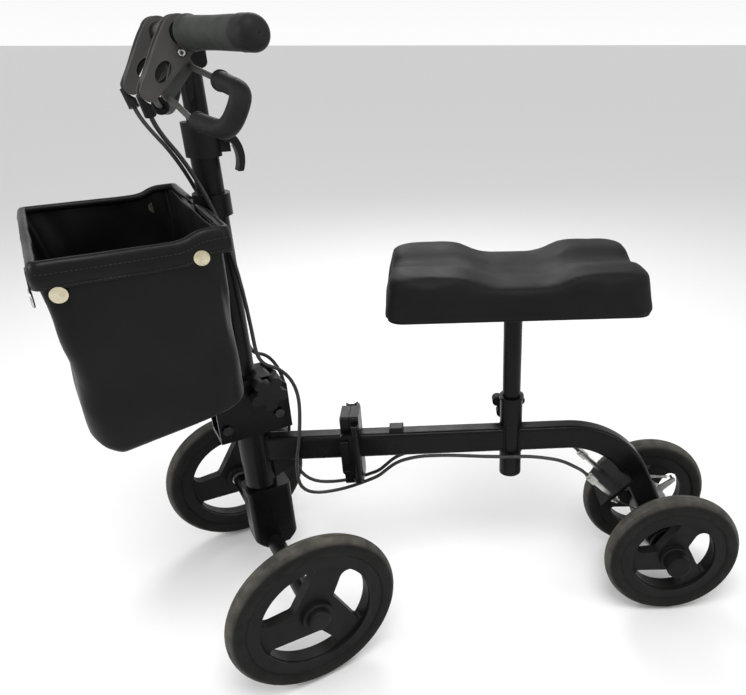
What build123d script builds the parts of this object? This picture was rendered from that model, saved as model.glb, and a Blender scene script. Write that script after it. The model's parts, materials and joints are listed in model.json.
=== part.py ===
from build123d import *
import math
import os

# Knee scooter. Design frame, millimetres: +X forward, +Y to the rider's left, +Z up.
# The origin of the design frame is on the floor under the middle of the rear axle.
# Steered pieces are drawn about the steering axis (x forward, y left) and then turned
# by rest_steer, because the scooter stands with its bars turned to the left.
# At the end everything is moved so that the footprint's middle is the origin.

# Layout
wheelbase = 603.0
front_radius = 114.3
rear_radius = 101.6
front_track = 370.0
rear_track = 152.0
rest_steer = 28.7
beam_height = 270.0

# Main beam: rounded rectangular tube
beam_tall = 38.0
beam_wide = 25.0
beam_corner = 6.0
beam_wall = 2.0
bend_radius = 120.0
bend_angle = 65.0

# Beam hinge: two flange plates with a vertical pin on the right
hinge_x = 465.0
hinge_pin_y = -28.0
hinge_pin_radius = 4.0
knuckle_radius = 9.0
plate_thick = 12.5
plate_bottom = 213.0
plate_top = 323.0
plate_left = 22.0
plate_gap = 0.6
latch_reach = 33.0

# Knee pad and its post
post_x = 237.0
post_radius = 12.7
post_wall = 2.0
post_bottom = 232.0
sleeve_radius = 16.0
sleeve_bottom = 210.0
sleeve_top = 339.0
pad_bottom = 490.0
pad_thick = 50.0
pad_long = 330.0
pad_wide = 184.0
plate_under_pad = 4.0
post_knob_height = 306.0

# Steering head and fork
head_radius = 22.0
head_bottom = 212.0
head_top = 300.0
steerer_radius = 12.0
steerer_wall = 3.0
crown_bottom = 122.0
crown_top = 207.0
cross_radius = 12.0

# Column fold bracket and foot
fold_x = -34.0
fold_z = 328.0
lock_x = -20.0
lock_z = 369.0
stop_x = 37.0
stop_z = 322.0
fold_range = 32.0
bracket_inside = 20.0
bracket_plate = 4.0
foot_bottom = 311.0
foot_top = 386.0

# Column, stem and handlebar
column_radius = 16.0
column_wall = 1.6
column_top = 704.0
stem_radius = 12.7
stem_bottom = 470.0
bar_height = 798.0
bar_forward = 15.0
bar_radius = 11.0
bar_straight = 70.0
bar_sweep = 16.0
bar_arm = 134.0
grip_radius = 15.5
grip_start = 14.0
grip_end = 110.0
cap_end = 137.0

# Brake levers
housing_y = 56.0
housing_wide = 24.0
housing_ring = 17.5
housing_long = 76.0
housing_slope = 54.0
loop_rod = 3.2
loop_rubber_radius = 9.0
loop_plate_thick = 6.0
loop_pivot_radius = 3.0
ferrule_long = 16.0
ferrule_radius = 6.0

# Wheels
tyre_wide = 32.0
tyre_deep = 23.0
hub_half = 17.0
hub_radius = 21.0
web_half = 8.0
rim_half = 13.0
rim_ring = 16.0
axle_radius = 5.0
bearing_radius = 13.0
bearing_wide = 8.0

# Bag
bag_back = 22.0
bag_front = 200.0
bag_half = 137.0
bag_bottom = 390.0
bag_top = 610.0
bag_wall = 2.5
wire_radius = 2.5

# Cables
cable_radius = 2.5

# Clearances
running = 0.05
slide_fit = 0.08
gap = 0.3
parts = {}


def block(x0, x1, y0, y1, z0, z1):
    """A box between two corners."""
    centre = ((x0 + x1) / 2, (y0 + y1) / 2, (z0 + z1) / 2)
    return Pos(*centre) * Box(x1 - x0, y1 - y0, z1 - z0)


def rod(start, end, radius):
    """A round bar from one point to another."""
    way = Vector(*end) - Vector(*start)
    plane = Plane(origin=start, z_dir=way)
    return extrude(plane * Circle(radius), way.length)


def tube(start, end, outer, inner):
    """A round tube: the bore runs a little past both ends."""
    a = Vector(*start)
    b = Vector(*end)
    step = (b - a).normalized()
    bore = rod(tuple(a - step), tuple(b + step), inner)
    return rod(start, end, outer) - bore


def mirrored(shape):
    """The same piece on the rider's other side."""
    return mirror(shape, about=Plane.XZ)


def both(shape):
    """A piece and its mirror image as two separate solids."""
    return Compound(children=list(shape.solids()) + list(mirrored(shape).solids()))


def steered(shape):
    """From the steering frame to the design frame at the rest steering angle."""
    return Pos(wheelbase, 0, 0) * (Rot(0, 0, rest_steer) * shape)


def steered_point(x, y, z):
    """A point of the steering frame in the design frame."""
    turn = math.radians(rest_steer)
    return (
        wheelbase + x * math.cos(turn) - y * math.sin(turn),
        x * math.sin(turn) + y * math.cos(turn),
        z,
    )


def cable(points, radius=cable_radius):
    """A cable along hand-chosen points, with each bend as wide as its runs allow."""
    spots = [Vector(*p) for p in points]
    radii = []
    for before, here, after in zip(spots, spots[1:], spots[2:]):
        turn = (here - before).get_angle(after - here)
        run = min((here - before).length, (after - here).length)
        radii.append(0.45 * run / math.tan(math.radians(turn / 2)))
    path = FilletPolyline(*points, radius=radii)
    section = Plane(origin=path @ 0, z_dir=path % 0) * Circle(radius)
    print("cable bend radii", [round(r, 1) for r in radii], "length", round(path.length, 1))
    return sweep(section, path=path)


def star_knob(plane, stud_long, head_gap, radius=25.0, thick=15.0):
    """A five-lobed hand knob on a stud that leaves the plane's origin along its normal."""
    outline = Circle(radius * 0.68)
    for turn in range(5):
        outline += Rot(0, 0, 90 + 72 * turn) * (Pos(radius * 0.7, 0) * Circle(radius * 0.3))
    head = extrude(outline, thick)
    head = fillet(head.edges().filter_by(Plane.XY).group_by(Axis.Z)[-1], 2.0)
    collar = extrude(Circle(radius * 0.36), head_gap)
    stud = extrude(Circle(4.0 - running), -stud_long)
    return plane * (Pos(0, 0, head_gap) * head + collar + stud)


def hex_bolt(y0, y1, x, z, radius=4.0):
    """A bolt along Y with a hexagon head at y0 and a nut at y1."""
    shank = rod((x, y0, z), (x, y1, z), radius)
    head = extrude(Plane.XZ * (Pos(x, z) * RegularPolygon(radius * 1.75, 6)), 5.0)
    return shank + Pos(0, y0, 0) * head + Pos(0, y1 + 5.0, 0) * head


# ---------------------------------------------------------------- main beam
def beam_section(plane, shrink=0.0):
    """Rounded rectangle, tall side up, across the beam."""
    wide = beam_wide - 2 * shrink
    tall = beam_tall - 2 * shrink
    return plane * RectangleRounded(wide, tall, beam_corner - shrink)


def beam_tube(path):
    """A tube of the beam's section along a path in the XZ plane."""
    start = Plane(origin=path @ 0, z_dir=path % 0, x_dir=(0, 1, 0))
    outer = sweep(beam_section(start), path=path)
    return outer - sweep(beam_section(start, beam_wall), path=path)


bend = math.radians(bend_angle)
bend_end_z = beam_height - bend_radius * (1 - math.cos(bend))
leg_long = (bend_end_z - rear_radius) / math.sin(bend)
bend_end_x = leg_long * math.cos(bend)
bend_start = bend_end_x + bend_radius * math.sin(bend)
axle_tube_radius = 14.0
bracket_centre = (82.0, 0.0, 188.0)
adjuster_top = (127.0, 33.0, 219.0)
adjuster_low = (77.0, 33.0, 169.0)


def make_rear_beam():
    """Rear beam in two lengths either side of the post sleeve, with the cable bracket."""
    front = (hinge_x - plate_gap / 2 - plate_thick, 0, beam_height)
    start = (bend_start, 0, beam_height)
    middle = (
        bend_start - bend_radius * math.sin(bend / 2),
        0,
        beam_height - bend_radius * (1 - math.cos(bend / 2)),
    )
    end = (bend_end_x, 0, bend_end_z)
    foot = (0, 0, rear_radius)
    path = Line(front, start) + ThreePointArc(start, middle, end) + Line(end, foot)
    beam = beam_tube(path)
    sleeve = rod((post_x, 0, sleeve_bottom), (post_x, 0, sleeve_top), sleeve_radius)
    axle = rod((0, -60, rear_radius), (0, 60, rear_radius), axle_tube_radius)
    beam = beam - sleeve - axle
    bracket = Pos(*bracket_centre) * (Rot(0, 45, 0) * Box(60, 84, 5))
    bracket = bracket - rod(adjuster_top, adjuster_low, 4.0)
    bracket = bracket - mirrored(rod(adjuster_top, adjuster_low, 4.0))
    front_plane = Plane(origin=front, z_dir=(-1, 0, 0), x_dir=(0, 1, 0))
    inside = sweep(beam_section(front_plane, beam_wall / 2), path=path)
    return beam + (bracket - inside)


def make_post_sleeve():
    """Sleeve welded through the beam, with a boss for the clamp knob."""
    sleeve = rod((post_x, 0, sleeve_bottom), (post_x, 0, sleeve_top), sleeve_radius)
    boss = rod((post_x, 0, post_knob_height), (post_x, -26, post_knob_height), 9.0)
    lip = rod((post_x, 0, sleeve_top - 4), (post_x, 0, sleeve_top), sleeve_radius + 1.5)
    bore = rod((post_x, 0, sleeve_bottom - 1), (post_x, 0, sleeve_top + 1), post_radius + slide_fit)
    hole = rod((post_x, 0, post_knob_height), (post_x, -30, post_knob_height), 4.0)
    return sleeve + boss + lip - bore - hole


def make_hinge_plate_rear():
    """Rear flange: two knuckles for the pin and two lugs for the latch lever."""
    face = hinge_x - plate_gap / 2
    plate = block(
        face - plate_thick,
        face,
        hinge_pin_y + knuckle_radius + 0.5,
        plate_left,
        plate_bottom,
        plate_top,
    )
    plate = fillet(plate.edges().filter_by(Axis.X), 5.0)
    third = (plate_top - plate_bottom) / 4
    for low, high in (
        (plate_bottom + 4, plate_bottom + third),
        (plate_top - third, plate_top - 4),
    ):
        web = block(
            face - plate_thick + 2, face - 0.4, hinge_pin_y, hinge_pin_y + 12, low, high
        )
        web = web + rod((hinge_x, hinge_pin_y, low), (hinge_x, hinge_pin_y, high), knuckle_radius)
        plate = plate + web
    pin = (hinge_x, hinge_pin_y)
    plate = plate - rod((*pin, plate_bottom), (*pin, plate_top), hinge_pin_radius)
    for low in (plate_bottom + 9, plate_top - 15):
        lug = block(face - 12, face - 2, plate_left - 3, latch_reach, low, low + 6)
        plate = plate + fillet(lug.edges().filter_by(Axis.Z).group_by(Axis.Y)[-1], 4.0)
    latch_hole = rod(
        (face - 7, latch_reach - 5, plate_bottom), (face - 7, latch_reach - 5, plate_top), 2.5
    )
    return plate - latch_hole


def make_hinge_plate_front():
    """Front flange with the middle knuckle."""
    face = hinge_x + plate_gap / 2
    plate = block(
        face,
        face + plate_thick,
        hinge_pin_y + knuckle_radius + 0.5,
        plate_left,
        plate_bottom,
        plate_top,
    )
    plate = fillet(plate.edges().filter_by(Axis.X), 5.0)
    third = (plate_top - plate_bottom) / 4
    low = plate_bottom + third + gap
    high = plate_top - third - gap
    web = block(face + 0.4, face + plate_thick - 2, hinge_pin_y, hinge_pin_y + 12, low, high)
    web = web + rod((hinge_x, hinge_pin_y, low), (hinge_x, hinge_pin_y, high), knuckle_radius)
    bore = rod(
        (hinge_x, hinge_pin_y, plate_bottom),
        (hinge_x, hinge_pin_y, plate_top),
        hinge_pin_radius + running,
    )
    return plate + web - bore


def make_beam_latch():
    """Latch lever that lies across both flanges and swings out to the left."""
    pin_x = hinge_x - plate_gap / 2 - 7
    pin_y = latch_reach - 5
    low = plate_bottom + 15 + gap
    high = plate_top - 15 - gap
    lever = block(pin_x, hinge_x + 14, pin_y - 3, pin_y + 4, low + 8, high - 6)
    lever = fillet(lever.edges().filter_by(Axis.Y), 6.0)
    lever = lever + rod((pin_x, pin_y, low), (pin_x, pin_y, high), 5.0)
    pin = rod((pin_x, pin_y, low - 5.5), (pin_x, pin_y, high + 5.5), 2.5 - running)
    grip = block(hinge_x + 2, hinge_x + 13, pin_y + 3, pin_y + 9, low + 16, high - 14)
    return lever + pin + fillet(grip.edges().filter_by(Axis.X), 2.0)


parts["rear_beam"] = make_rear_beam()
parts["post_sleeve"] = make_post_sleeve()
parts["hinge_plate_rear"] = make_hinge_plate_rear()
parts["hinge_plate_front"] = make_hinge_plate_front()
parts["beam_latch"] = make_beam_latch()
parts["hinge_pin"] = rod(
    (hinge_x, hinge_pin_y, plate_bottom + 4.0),
    (hinge_x, hinge_pin_y, plate_top - 4.0),
    hinge_pin_radius,
) + rod(
    (hinge_x, hinge_pin_y, plate_top - 4.0), (hinge_x, hinge_pin_y, plate_top - 1.0), 6.5
)
rest_block = block(392, 412, -9, 9, beam_height + beam_tall / 2, beam_height + beam_tall / 2 + 7)
parts["beam_rest_block"] = fillet(rest_block.edges().group_by(Axis.Z)[-1], 2.0)


# ------------------------------------------------------------- steering head
def make_head_tube():
    """Head tube with a gusset plate above and below the front beam."""
    x = wheelbase
    head = tube((x, 0, head_bottom), (x, 0, head_top), head_radius, steerer_radius + 5.0)
    low = Polyline(
        (x - head_radius + 1, 0, head_bottom + 6),
        (x - head_radius + 1, 0, beam_height - beam_tall / 2),
        (x - head_radius - 46, 0, beam_height - beam_tall / 2),
        close=True,
    )
    gusset = extrude(make_face(low), 3.0, both=True)
    return head + gusset


def make_front_beam():
    """Front beam from the front flange to the head tube."""
    start = (hinge_x + plate_gap / 2 + plate_thick, 0, beam_height)
    end = (wheelbase, 0, beam_height)
    beam = beam_tube(Line(start, end))
    return beam - rod((wheelbase, 0, 200), (wheelbase, 0, 340), head_radius)


def make_head_bearings():
    """Upper and lower steering bearing, pressed into the head tube."""
    bearings = []
    for z in (head_bottom, head_top - 9):
        ring = tube(
            (wheelbase, 0, z),
            (wheelbase, 0, z + 9),
            steerer_radius + 5.0,
            steerer_radius + running,
        )
        bearings += ring.solids()
    return Compound(children=bearings)


parts["head_tube"] = make_head_tube()
parts["front_beam"] = make_front_beam()
parts["head_bearings"] = make_head_bearings()


# ------------------------------------------------------------------- fork
def make_crown():
    """Block that joins the steerer to the cross tube, waisted towards the bottom."""
    crown = block(-36, 26, -21, 21, crown_bottom - 16, crown_top)
    crown = chamfer(crown.edges().filter_by(Axis.Y).group_by(Axis.Z)[0], 14.0)
    crown = fillet(crown.edges().filter_by(Axis.Z), 7.0)
    crown = crown - rod((0, -60, front_radius), (0, 60, front_radius), cross_radius)
    return crown - rod((0, 0, crown_bottom + 14), (0, 0, 300), steerer_radius)


def make_crossbeam():
    """Cross tube between the front wheels, with solid ends bored for the axle bolts."""
    end = front_track / 2 - hub_half - 6
    bar = rod((0, -end, front_radius), (0, end, front_radius), cross_radius)
    hollow = rod((0, 40 - end, front_radius), (0, end - 40, front_radius), cross_radius - 2.5)
    bores = rod((0, -end - 1, front_radius), (0, end + 1, front_radius), axle_radius)
    return bar - hollow - bores


def make_front_axle():
    """One axle bolt: shank, spacer collar inboard of the wheel and low hexagon head."""
    middle = front_track / 2
    seat = middle + hub_half + 1
    shank = rod((0, middle - hub_half - 44, front_radius), (0, seat, front_radius), axle_radius)
    collar = rod(
        (0, middle - hub_half - 6, front_radius), (0, middle - hub_half - gap, front_radius), 8.0
    )
    head = extrude(Plane.XZ * (Pos(0, front_radius) * RegularPolygon(8.5, 6)), -3.0)
    return shank + collar + Pos(0, seat, 0) * head


def make_fold_bracket():
    """U bracket on the steerer: base plate and two cheeks for the fold and lock bolts."""
    outside = bracket_inside + bracket_plate
    cheek = block(-50, 47, bracket_inside, outside, head_top + 1.5, 386)
    cheek = chamfer(cheek.edges().filter_by(Axis.Y).group_by(Axis.Z)[-1], 18.0)
    base = block(-50, 47, -outside, outside, head_top + 1.5, head_top + 9)
    bracket = cheek + mirrored(cheek) + base
    bracket = bracket - rod((0, 0, 290), (0, 0, 320), steerer_radius)
    for x, z in ((fold_x, fold_z), (lock_x, lock_z), (stop_x, stop_z)):
        bracket = bracket - rod((x, -40, z), (x, 40, z), 4.0)
    return bracket


def make_foot():
    """Column foot: block that turns on the fold bolt, with an arc slot for the lock bolt."""
    half = bracket_inside - gap
    foot = block(fold_x, 19, -half, half, foot_bottom, foot_top)
    heel = block(fold_x - 13, fold_x + 1, -half, half, fold_z, foot_top - 14)
    foot = foot + heel + rod((fold_x, -half, fold_z), (fold_x, half, fold_z), 13.0)
    foot = chamfer(foot.edges().filter_by(Axis.Y).group_by(Axis.Z)[-1].sort_by(Axis.X)[:1], 6.0)
    reach = math.hypot(lock_x - fold_x, lock_z - fold_z)
    lean = math.degrees(math.atan2(lock_z - fold_z, lock_x - fold_x))
    arc_end = lean - fold_range - 1.0
    end_x = fold_x + reach * math.cos(math.radians(arc_end))
    end_z = fold_z + reach * math.sin(math.radians(arc_end))
    slot = rod((lock_x, -half - 1, lock_z), (lock_x, half + 1, lock_z), 4.0 + gap)
    slot = slot + rod((end_x, -half - 1, end_z), (end_x, half + 1, end_z), 4.0 + gap)
    band = tube((fold_x, -half - 1, fold_z), (fold_x, half + 1, fold_z), reach + 4.3, reach - 4.3)
    middle = math.radians((lean + arc_end) / 2)
    wedge_reach = 3 * reach
    side = math.radians((lean - arc_end) / 2)
    corner_a = (
        fold_x + wedge_reach * math.cos(middle + side),
        -half - 1,
        fold_z + wedge_reach * math.sin(middle + side),
    )
    corner_b = (
        fold_x + wedge_reach * math.cos(middle - side),
        -half - 1,
        fold_z + wedge_reach * math.sin(middle - side),
    )
    triangle = make_face(Polyline((fold_x, -half - 1, fold_z), corner_a, corner_b, close=True))
    wedge = extrude(triangle, 2 * half + 2, dir=(0, 1, 0))
    foot = foot - slot - (band & wedge)
    foot = foot - rod((fold_x, -40, fold_z), (fold_x, 40, fold_z), 4.0 + running)
    return foot


def make_fold_bolts():
    """Fold bolt and front stop bolt, each with head and nut outside the cheeks."""
    outside = bracket_inside + bracket_plate
    fold = hex_bolt(-outside, outside, fold_x, fold_z)
    stop = hex_bolt(-outside, outside, stop_x, stop_z)
    return Compound(children=list(fold.solids()) + list(stop.solids()))


outer_face = bracket_inside + bracket_plate
knob_plane = Plane(origin=(lock_x, outer_face + gap, lock_z), z_dir=(0, 1, 0), x_dir=(1, 0, 0))
parts["steerer"] = steered(
    tube((0, 0, crown_bottom + 14), (0, 0, head_top + 9), steerer_radius, steerer_radius - steerer_wall)
)
parts["fork_crown"] = steered(make_crown())
parts["crossbeam"] = steered(make_crossbeam())
parts["front_axles"] = steered(both(make_front_axle()))
parts["fold_bracket"] = steered(make_fold_bracket())
parts["fold_bolts"] = steered(make_fold_bolts())
parts["column_foot"] = steered(make_foot())
parts["fold_knob"] = steered(star_knob(knob_plane, 2 * outer_face + 1, 8.0))


# ------------------------------------------------------------------ column
def make_collar():
    """Split clamp collar at the top of the column, with two ears for the clamp bolt."""
    ring = tube((0, 0, column_top - 34), (0, 0, column_top), column_radius + 4.0, column_radius)
    ears = block(clamp_x - 4, -17, -9, 9, column_top - 30, column_top - 2)
    ears = ears + rod((clamp_x, -9, column_top - 12), (clamp_x, 9, column_top - 12), 7.0)
    lip = tube((0, 0, column_top), (0, 0, column_top + 4), column_radius + 4.0, stem_radius + slide_fit)
    split = block(-60, -10, -1.2, 1.2, column_top - 60, column_top + 10)
    shape = ring + lip + ears - split
    shape = shape - rod((0, 0, column_top - 60), (0, 0, column_top), column_radius)
    return shape - rod((clamp_x, -20, column_top - 12), (clamp_x, 20, column_top - 12), 3.0)


def make_height_lever():
    """Quick-release lever of the collar: bolt across the ears and a curved paddle."""
    z = column_top - 12
    bolt = rod((clamp_x, -13, z), (clamp_x, 13, z), 3.0 - running)
    cam = rod((clamp_x, 9.4, z), (clamp_x, 17, z), 7.0)
    cap = rod((clamp_x, -13, z), (clamp_x, -9.4, z), 6.0)
    outline = make_face(
        Spline((-29, 0, z + 6), (-38, 0, z - 5), (-42, 0, z - 22), (-38, 0, z - 40))
        + Line((-38, 0, z - 40), (-32, 0, z - 40))
        + Spline((-32, 0, z - 40), (-35, 0, z - 24), (-32, 0, z - 12), (-24, 0, z - 4))
        + Line((-24, 0, z - 4), (-29, 0, z + 6))
    )
    paddle = extrude(outline, 17.0, dir=(0, 1, 0)) - block(-60, 0, -9, 9.4, z - 12, z + 20)
    return bolt + cam + cap + paddle


def make_bag():
    """Hollow soft bag, open at the top, with a large radius at its front lower edge."""

    def body(inset, top):
        shape = block(
            bag_back + inset,
            bag_front - inset,
            -bag_half + inset,
            bag_half - inset,
            bag_bottom + inset,
            top,
        )
        low = shape.edges().filter_by(Axis.Y).group_by(Axis.Z)[0].sort_by(Axis.X)
        shape = fillet(low[-1:], 44.0 - inset)
        low = shape.edges().filter_by(Axis.Y).group_by(Axis.Z)[0].sort_by(Axis.X)
        shape = fillet(low[:1], 14.0 - inset)
        return shape

    bag = body(0.0, bag_top) - body(bag_wall, bag_top + 20)
    for x, z in snap_places:
        bag = bag - rod((x, -bag_half - 5, z), (x, bag_half + 5, z), 3.0)
    return bag


def make_snaps():
    """Brass press studs through the two sides of the bag."""
    snaps = []
    for side in (-1, 1):
        outer = side * bag_half
        inner = side * (bag_half - bag_wall)
        for x, z in snap_places:
            snap = rod((x, inner - side * 2, z), (x, outer + side * 2, z), 3.0)
            snap = snap + rod((x, outer, z), (x, outer + side * 2.2, z), 8.0)
            snap = snap + rod((x, inner - side * 2.0, z), (x, inner, z), 7.0)
            snaps += snap.solids()
    return Compound(children=snaps)


def make_bag_frame():
    """Wire that carries the mouth of the bag; its back bar lies in the column bracket."""
    side = bag_half - bag_wall - wire_radius - 0.5
    front = bag_front - bag_wall - wire_radius - 0.5
    back = column_radius + wire_radius + gap
    high = bag_top + 6
    low = bag_top - 4
    half = [
        (back, 0, high),
        (back, side, high),
        (back + 24, side, high),
        (back + 46, side, low),
        (front, side, low),
        (front, 0, low),
    ]
    path = FilletPolyline(*half, radius=[9.0, 12.0, 12.0, 12.0])
    section = Plane(origin=path @ 0, z_dir=path % 0) * Circle(wire_radius)
    wire = sweep(section, path=path)
    return wire + mirrored(wire)


def make_bag_bracket():
    """Bracket ring on the column that holds the back bar of the bag wire."""
    z = bag_top + 6
    ring = tube((0, 0, z - 14), (0, 0, z + 12), column_radius + 5.5, column_radius)
    back = column_radius + wire_radius + gap
    return ring - rod((back, -40, z), (back, 40, z), wire_radius)


clamp_x = -25.0
snap_places = ((180.0, 577.0), (48.0, 591.0))
parts["column_tube"] = steered(
    tube((0, 0, foot_top), (0, 0, column_top), column_radius, column_radius - column_wall)
)
parts["height_collar"] = steered(make_collar())
parts["height_lever"] = steered(make_height_lever())
parts["bag"] = steered(make_bag())
parts["bag_snaps"] = steered(make_snaps())
parts["bag_frame"] = steered(make_bag_frame())
parts["bag_bracket"] = steered(make_bag_bracket())


# -------------------------------------------------------------- handlebar
sweep_angle = math.radians(bar_sweep)


def along_bar(distance):
    """A point on the left arm of the bar, measured outboard from its bend."""
    return (
        bar_forward - distance * math.sin(sweep_angle),
        bar_straight + distance * math.cos(sweep_angle),
        bar_height,
    )


def bar_solid(radius):
    """The swept bar as a solid of the given radius."""
    tip = along_bar(bar_arm)
    knee = (bar_forward, bar_straight, bar_height)
    points = [tip, knee, (knee[0], -knee[1], knee[2]), (tip[0], -tip[1], tip[2])]
    path = FilletPolyline(*points, radius=60.0)
    return sweep(Plane(origin=path @ 0, z_dir=path % 0) * Circle(radius), path=path)


def make_handlebar():
    """Swept bar with its gooseneck block and two gusset plates, welded as one piece."""
    bar = bar_solid(bar_radius)
    neck = block(-17, bar_forward + 9, -17, 17, bar_height - 34, bar_height + 2)
    neck = fillet(neck.edges().filter_by(Axis.Y), 7.0)
    side = make_face(
        Polyline(
            (0, 10, bar_height - 70), (0, 10, bar_height - 3), (0, 40, bar_height - 3), close=True
        )
    )
    plate = extrude(side, 2.5, dir=(1, 0, 0), both=True)
    plate = Pos(5, 0, 0) * plate
    hollow = bar_solid(bar_radius - 2.0)
    stem = rod((0, 0, 600), (0, 0, bar_height - 14), stem_radius)
    return bar + neck + plate + mirrored(plate) - hollow - stem


def make_grip():
    """Soft grip sleeve over the left arm."""
    a = Vector(*along_bar(grip_start))
    b = Vector(*along_bar(grip_end))
    grip = rod(tuple(a), tuple(b), grip_radius)
    grip = fillet(grip.edges().filter_by(GeomType.CIRCLE)[:1], 1.5)
    return grip - rod(along_bar(grip_start - 2), along_bar(grip_end + 2), bar_radius)


def make_grip_cap():
    """Rounded end cap of the grip."""
    cap = rod(along_bar(grip_end), along_bar(cap_end), grip_radius + 0.7)
    outer = cap.edges().filter_by(GeomType.CIRCLE).sort_by(Axis.Y)[-1]
    cap = fillet(outer, 8.0)
    return cap - rod(along_bar(grip_end - 2), along_bar(bar_arm), bar_radius)


loop_pivot = (bar_forward + 3.0, housing_y, bar_height - 17.6)
arm_top = (loop_pivot[0] - 7.0, housing_y, loop_pivot[2] - 12.5)
arm_low = (loop_pivot[0] + 18.5, housing_y, loop_pivot[2] - 41.0)
loop_tip = (-14.0, 158.0, 748.0)
loop_base = (4.0, 150.0, 712.0)
loop_knee = (24.0, 92.0, 719.0)


def make_housing():
    """Brake lever housing: clamp ring on the bar and a tapered body with an open slot."""
    half = housing_wide / 2
    slope = math.radians(housing_slope)
    plane = Plane(
        origin=(bar_forward, housing_y, bar_height),
        x_dir=(math.cos(slope), 0, -math.sin(slope)),
        z_dir=(0, 1, 0),
    )
    outline = make_face(
        Polyline(
            (0, -housing_ring),
            (34, -15),
            (housing_long, -8),
            (housing_long, 10),
            (34, 17),
            (0, housing_ring),
            close=True,
        )
    )
    outline = fillet(outline.vertices().group_by(Axis.X)[-1], 5.0)
    body = plane * extrude(outline, half, both=True)
    inboard = (bar_forward, housing_y - half, bar_height)
    outboard = (bar_forward, housing_y + half, bar_height)
    body = body + rod(inboard, outboard, housing_ring)
    slot = plane * extrude(Pos(39.5, 10) * Rectangle(61, 18), half - 4.0, both=True)
    pin = rod(
        (loop_pivot[0], housing_y - half - 5, loop_pivot[2]),
        (loop_pivot[0], housing_y + half + 5, loop_pivot[2]),
        loop_pivot_radius,
    )
    return body - slot - bar_solid(bar_radius) - pin


def make_loop_lever():
    """Loop lever: plate on the pivot pin in the housing's slot, and a bent round rod."""
    thick = loop_plate_thick
    plane = Plane(origin=(0, housing_y + thick / 2, 0), x_dir=(1, 0, 0), z_dir=(0, -1, 0))
    corners = make_hull(
        [
            edge
            for point, radius in ((loop_pivot, 6.0), (arm_top, 5.0), (arm_low, 5.0))
            for edge in (Pos(point[0], point[2]) * Circle(radius)).edges()
        ]
    )
    plate = extrude(plane * corners, thick)
    path = FilletPolyline(
        arm_top, loop_tip, loop_base, loop_knee, arm_low, radius=[16.0, 16.0, 30.0]
    )
    section = Plane(origin=path @ 0, z_dir=path % 0) * Circle(loop_rod)
    half = housing_wide / 2 + 1
    pin = rod(
        (loop_pivot[0], housing_y - half, loop_pivot[2]),
        (loop_pivot[0], housing_y + half, loop_pivot[2]),
        loop_pivot_radius - running,
    )
    return plate + sweep(section, path=path) + pin


def make_loop_rubber():
    """Thick rubber sleeve over the outer end of the loop."""
    tip = Vector(*loop_tip)
    base = Vector(*loop_base)
    start = tip + (Vector(*arm_top) - tip).normalized() * 44
    end = base + (Vector(*loop_knee) - base).normalized() * 50
    path = FilletPolyline(tuple(start), loop_tip, loop_base, tuple(end), radius=[16.0, 16.0])
    plane = Plane(origin=path @ 0, z_dir=path % 0)
    outer = sweep(plane * Circle(loop_rubber_radius), path=path)
    return outer - sweep(plane * Circle(loop_rod), path=path)


def housing_outlet():
    """Where the cable leaves the housing, and the point that it heads for."""
    slope = math.radians(housing_slope)
    outlet = Vector(
        bar_forward + housing_long * math.cos(slope),
        housing_y,
        bar_height - housing_long * math.sin(slope),
    )
    return outlet, Vector(bar_forward + 38.0, housing_y - 8, bar_height - 90)


def make_ferrule():
    """Cable ferrule under the housing, cut to sit on the housing's end."""
    outlet, towards = housing_outlet()
    way = (towards - outlet).normalized()
    end = outlet + way * ferrule_long
    ferrule = rod(tuple(outlet - way * 6), tuple(end), ferrule_radius) - make_housing()
    return ferrule.solids().sort_by(SortBy.VOLUME)[-1]


def make_lever_cable():
    """Brake cable from the ferrule down the side of the column towards its foot."""
    outlet, towards = housing_outlet()
    start = outlet + (towards - outlet).normalized() * ferrule_long
    return cable(
        [
            tuple(start),
            tuple(towards),
            (26.0, 30.0, 668.0),
            (4.0, 27.0, 610.0),
            (-14.0, 22.0, 520.0),
            (-17.0, 20.0, 430.0),
        ]
    )


parts["stem_tube"] = steered(
    tube((0, 0, stem_bottom), (0, 0, bar_height - 14), stem_radius, stem_radius - 2.0)
)
parts["handlebar"] = steered(make_handlebar())
parts["grips"] = steered(both(make_grip()))
parts["grip_caps"] = steered(both(make_grip_cap()))
parts["brake_housings"] = steered(both(make_housing()))
parts["cable_ferrules"] = steered(both(make_ferrule()))
parts["loop_lever_left"] = steered(make_loop_lever())
parts["loop_lever_right"] = steered(mirrored(make_loop_lever()))
parts["loop_rubber_left"] = steered(make_loop_rubber())
parts["loop_rubber_right"] = steered(mirrored(make_loop_rubber()))
parts["lever_cables"] = steered(both(make_lever_cable()))


# ------------------------------------------------------------------ wheels
def spoke_window(radius_out, radius_in):
    """One comma-shaped window between two spokes."""
    tip = math.radians(-22.0)
    inner = math.radians(-97.0)
    outer = math.radians(-113.0)
    middle = (tip + outer) / 2
    a = (radius_out * math.cos(tip), radius_out * math.sin(tip))
    b = (radius_in * math.cos(inner), radius_in * math.sin(inner))
    c = (radius_out * math.cos(outer), radius_out * math.sin(outer))
    top = (radius_out * math.cos(middle), radius_out * math.sin(middle))
    face = make_face(Line(a, b) + Line(b, c) + ThreePointArc(c, top, a))
    corners = face.vertices()
    face = fillet(corners.sort_by_distance(a)[:1], 5.0)
    face = fillet(face.vertices().sort_by_distance(b)[:1], 6.0)
    return fillet(face.vertices().sort_by_distance(c)[:1], 12.0)


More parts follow.
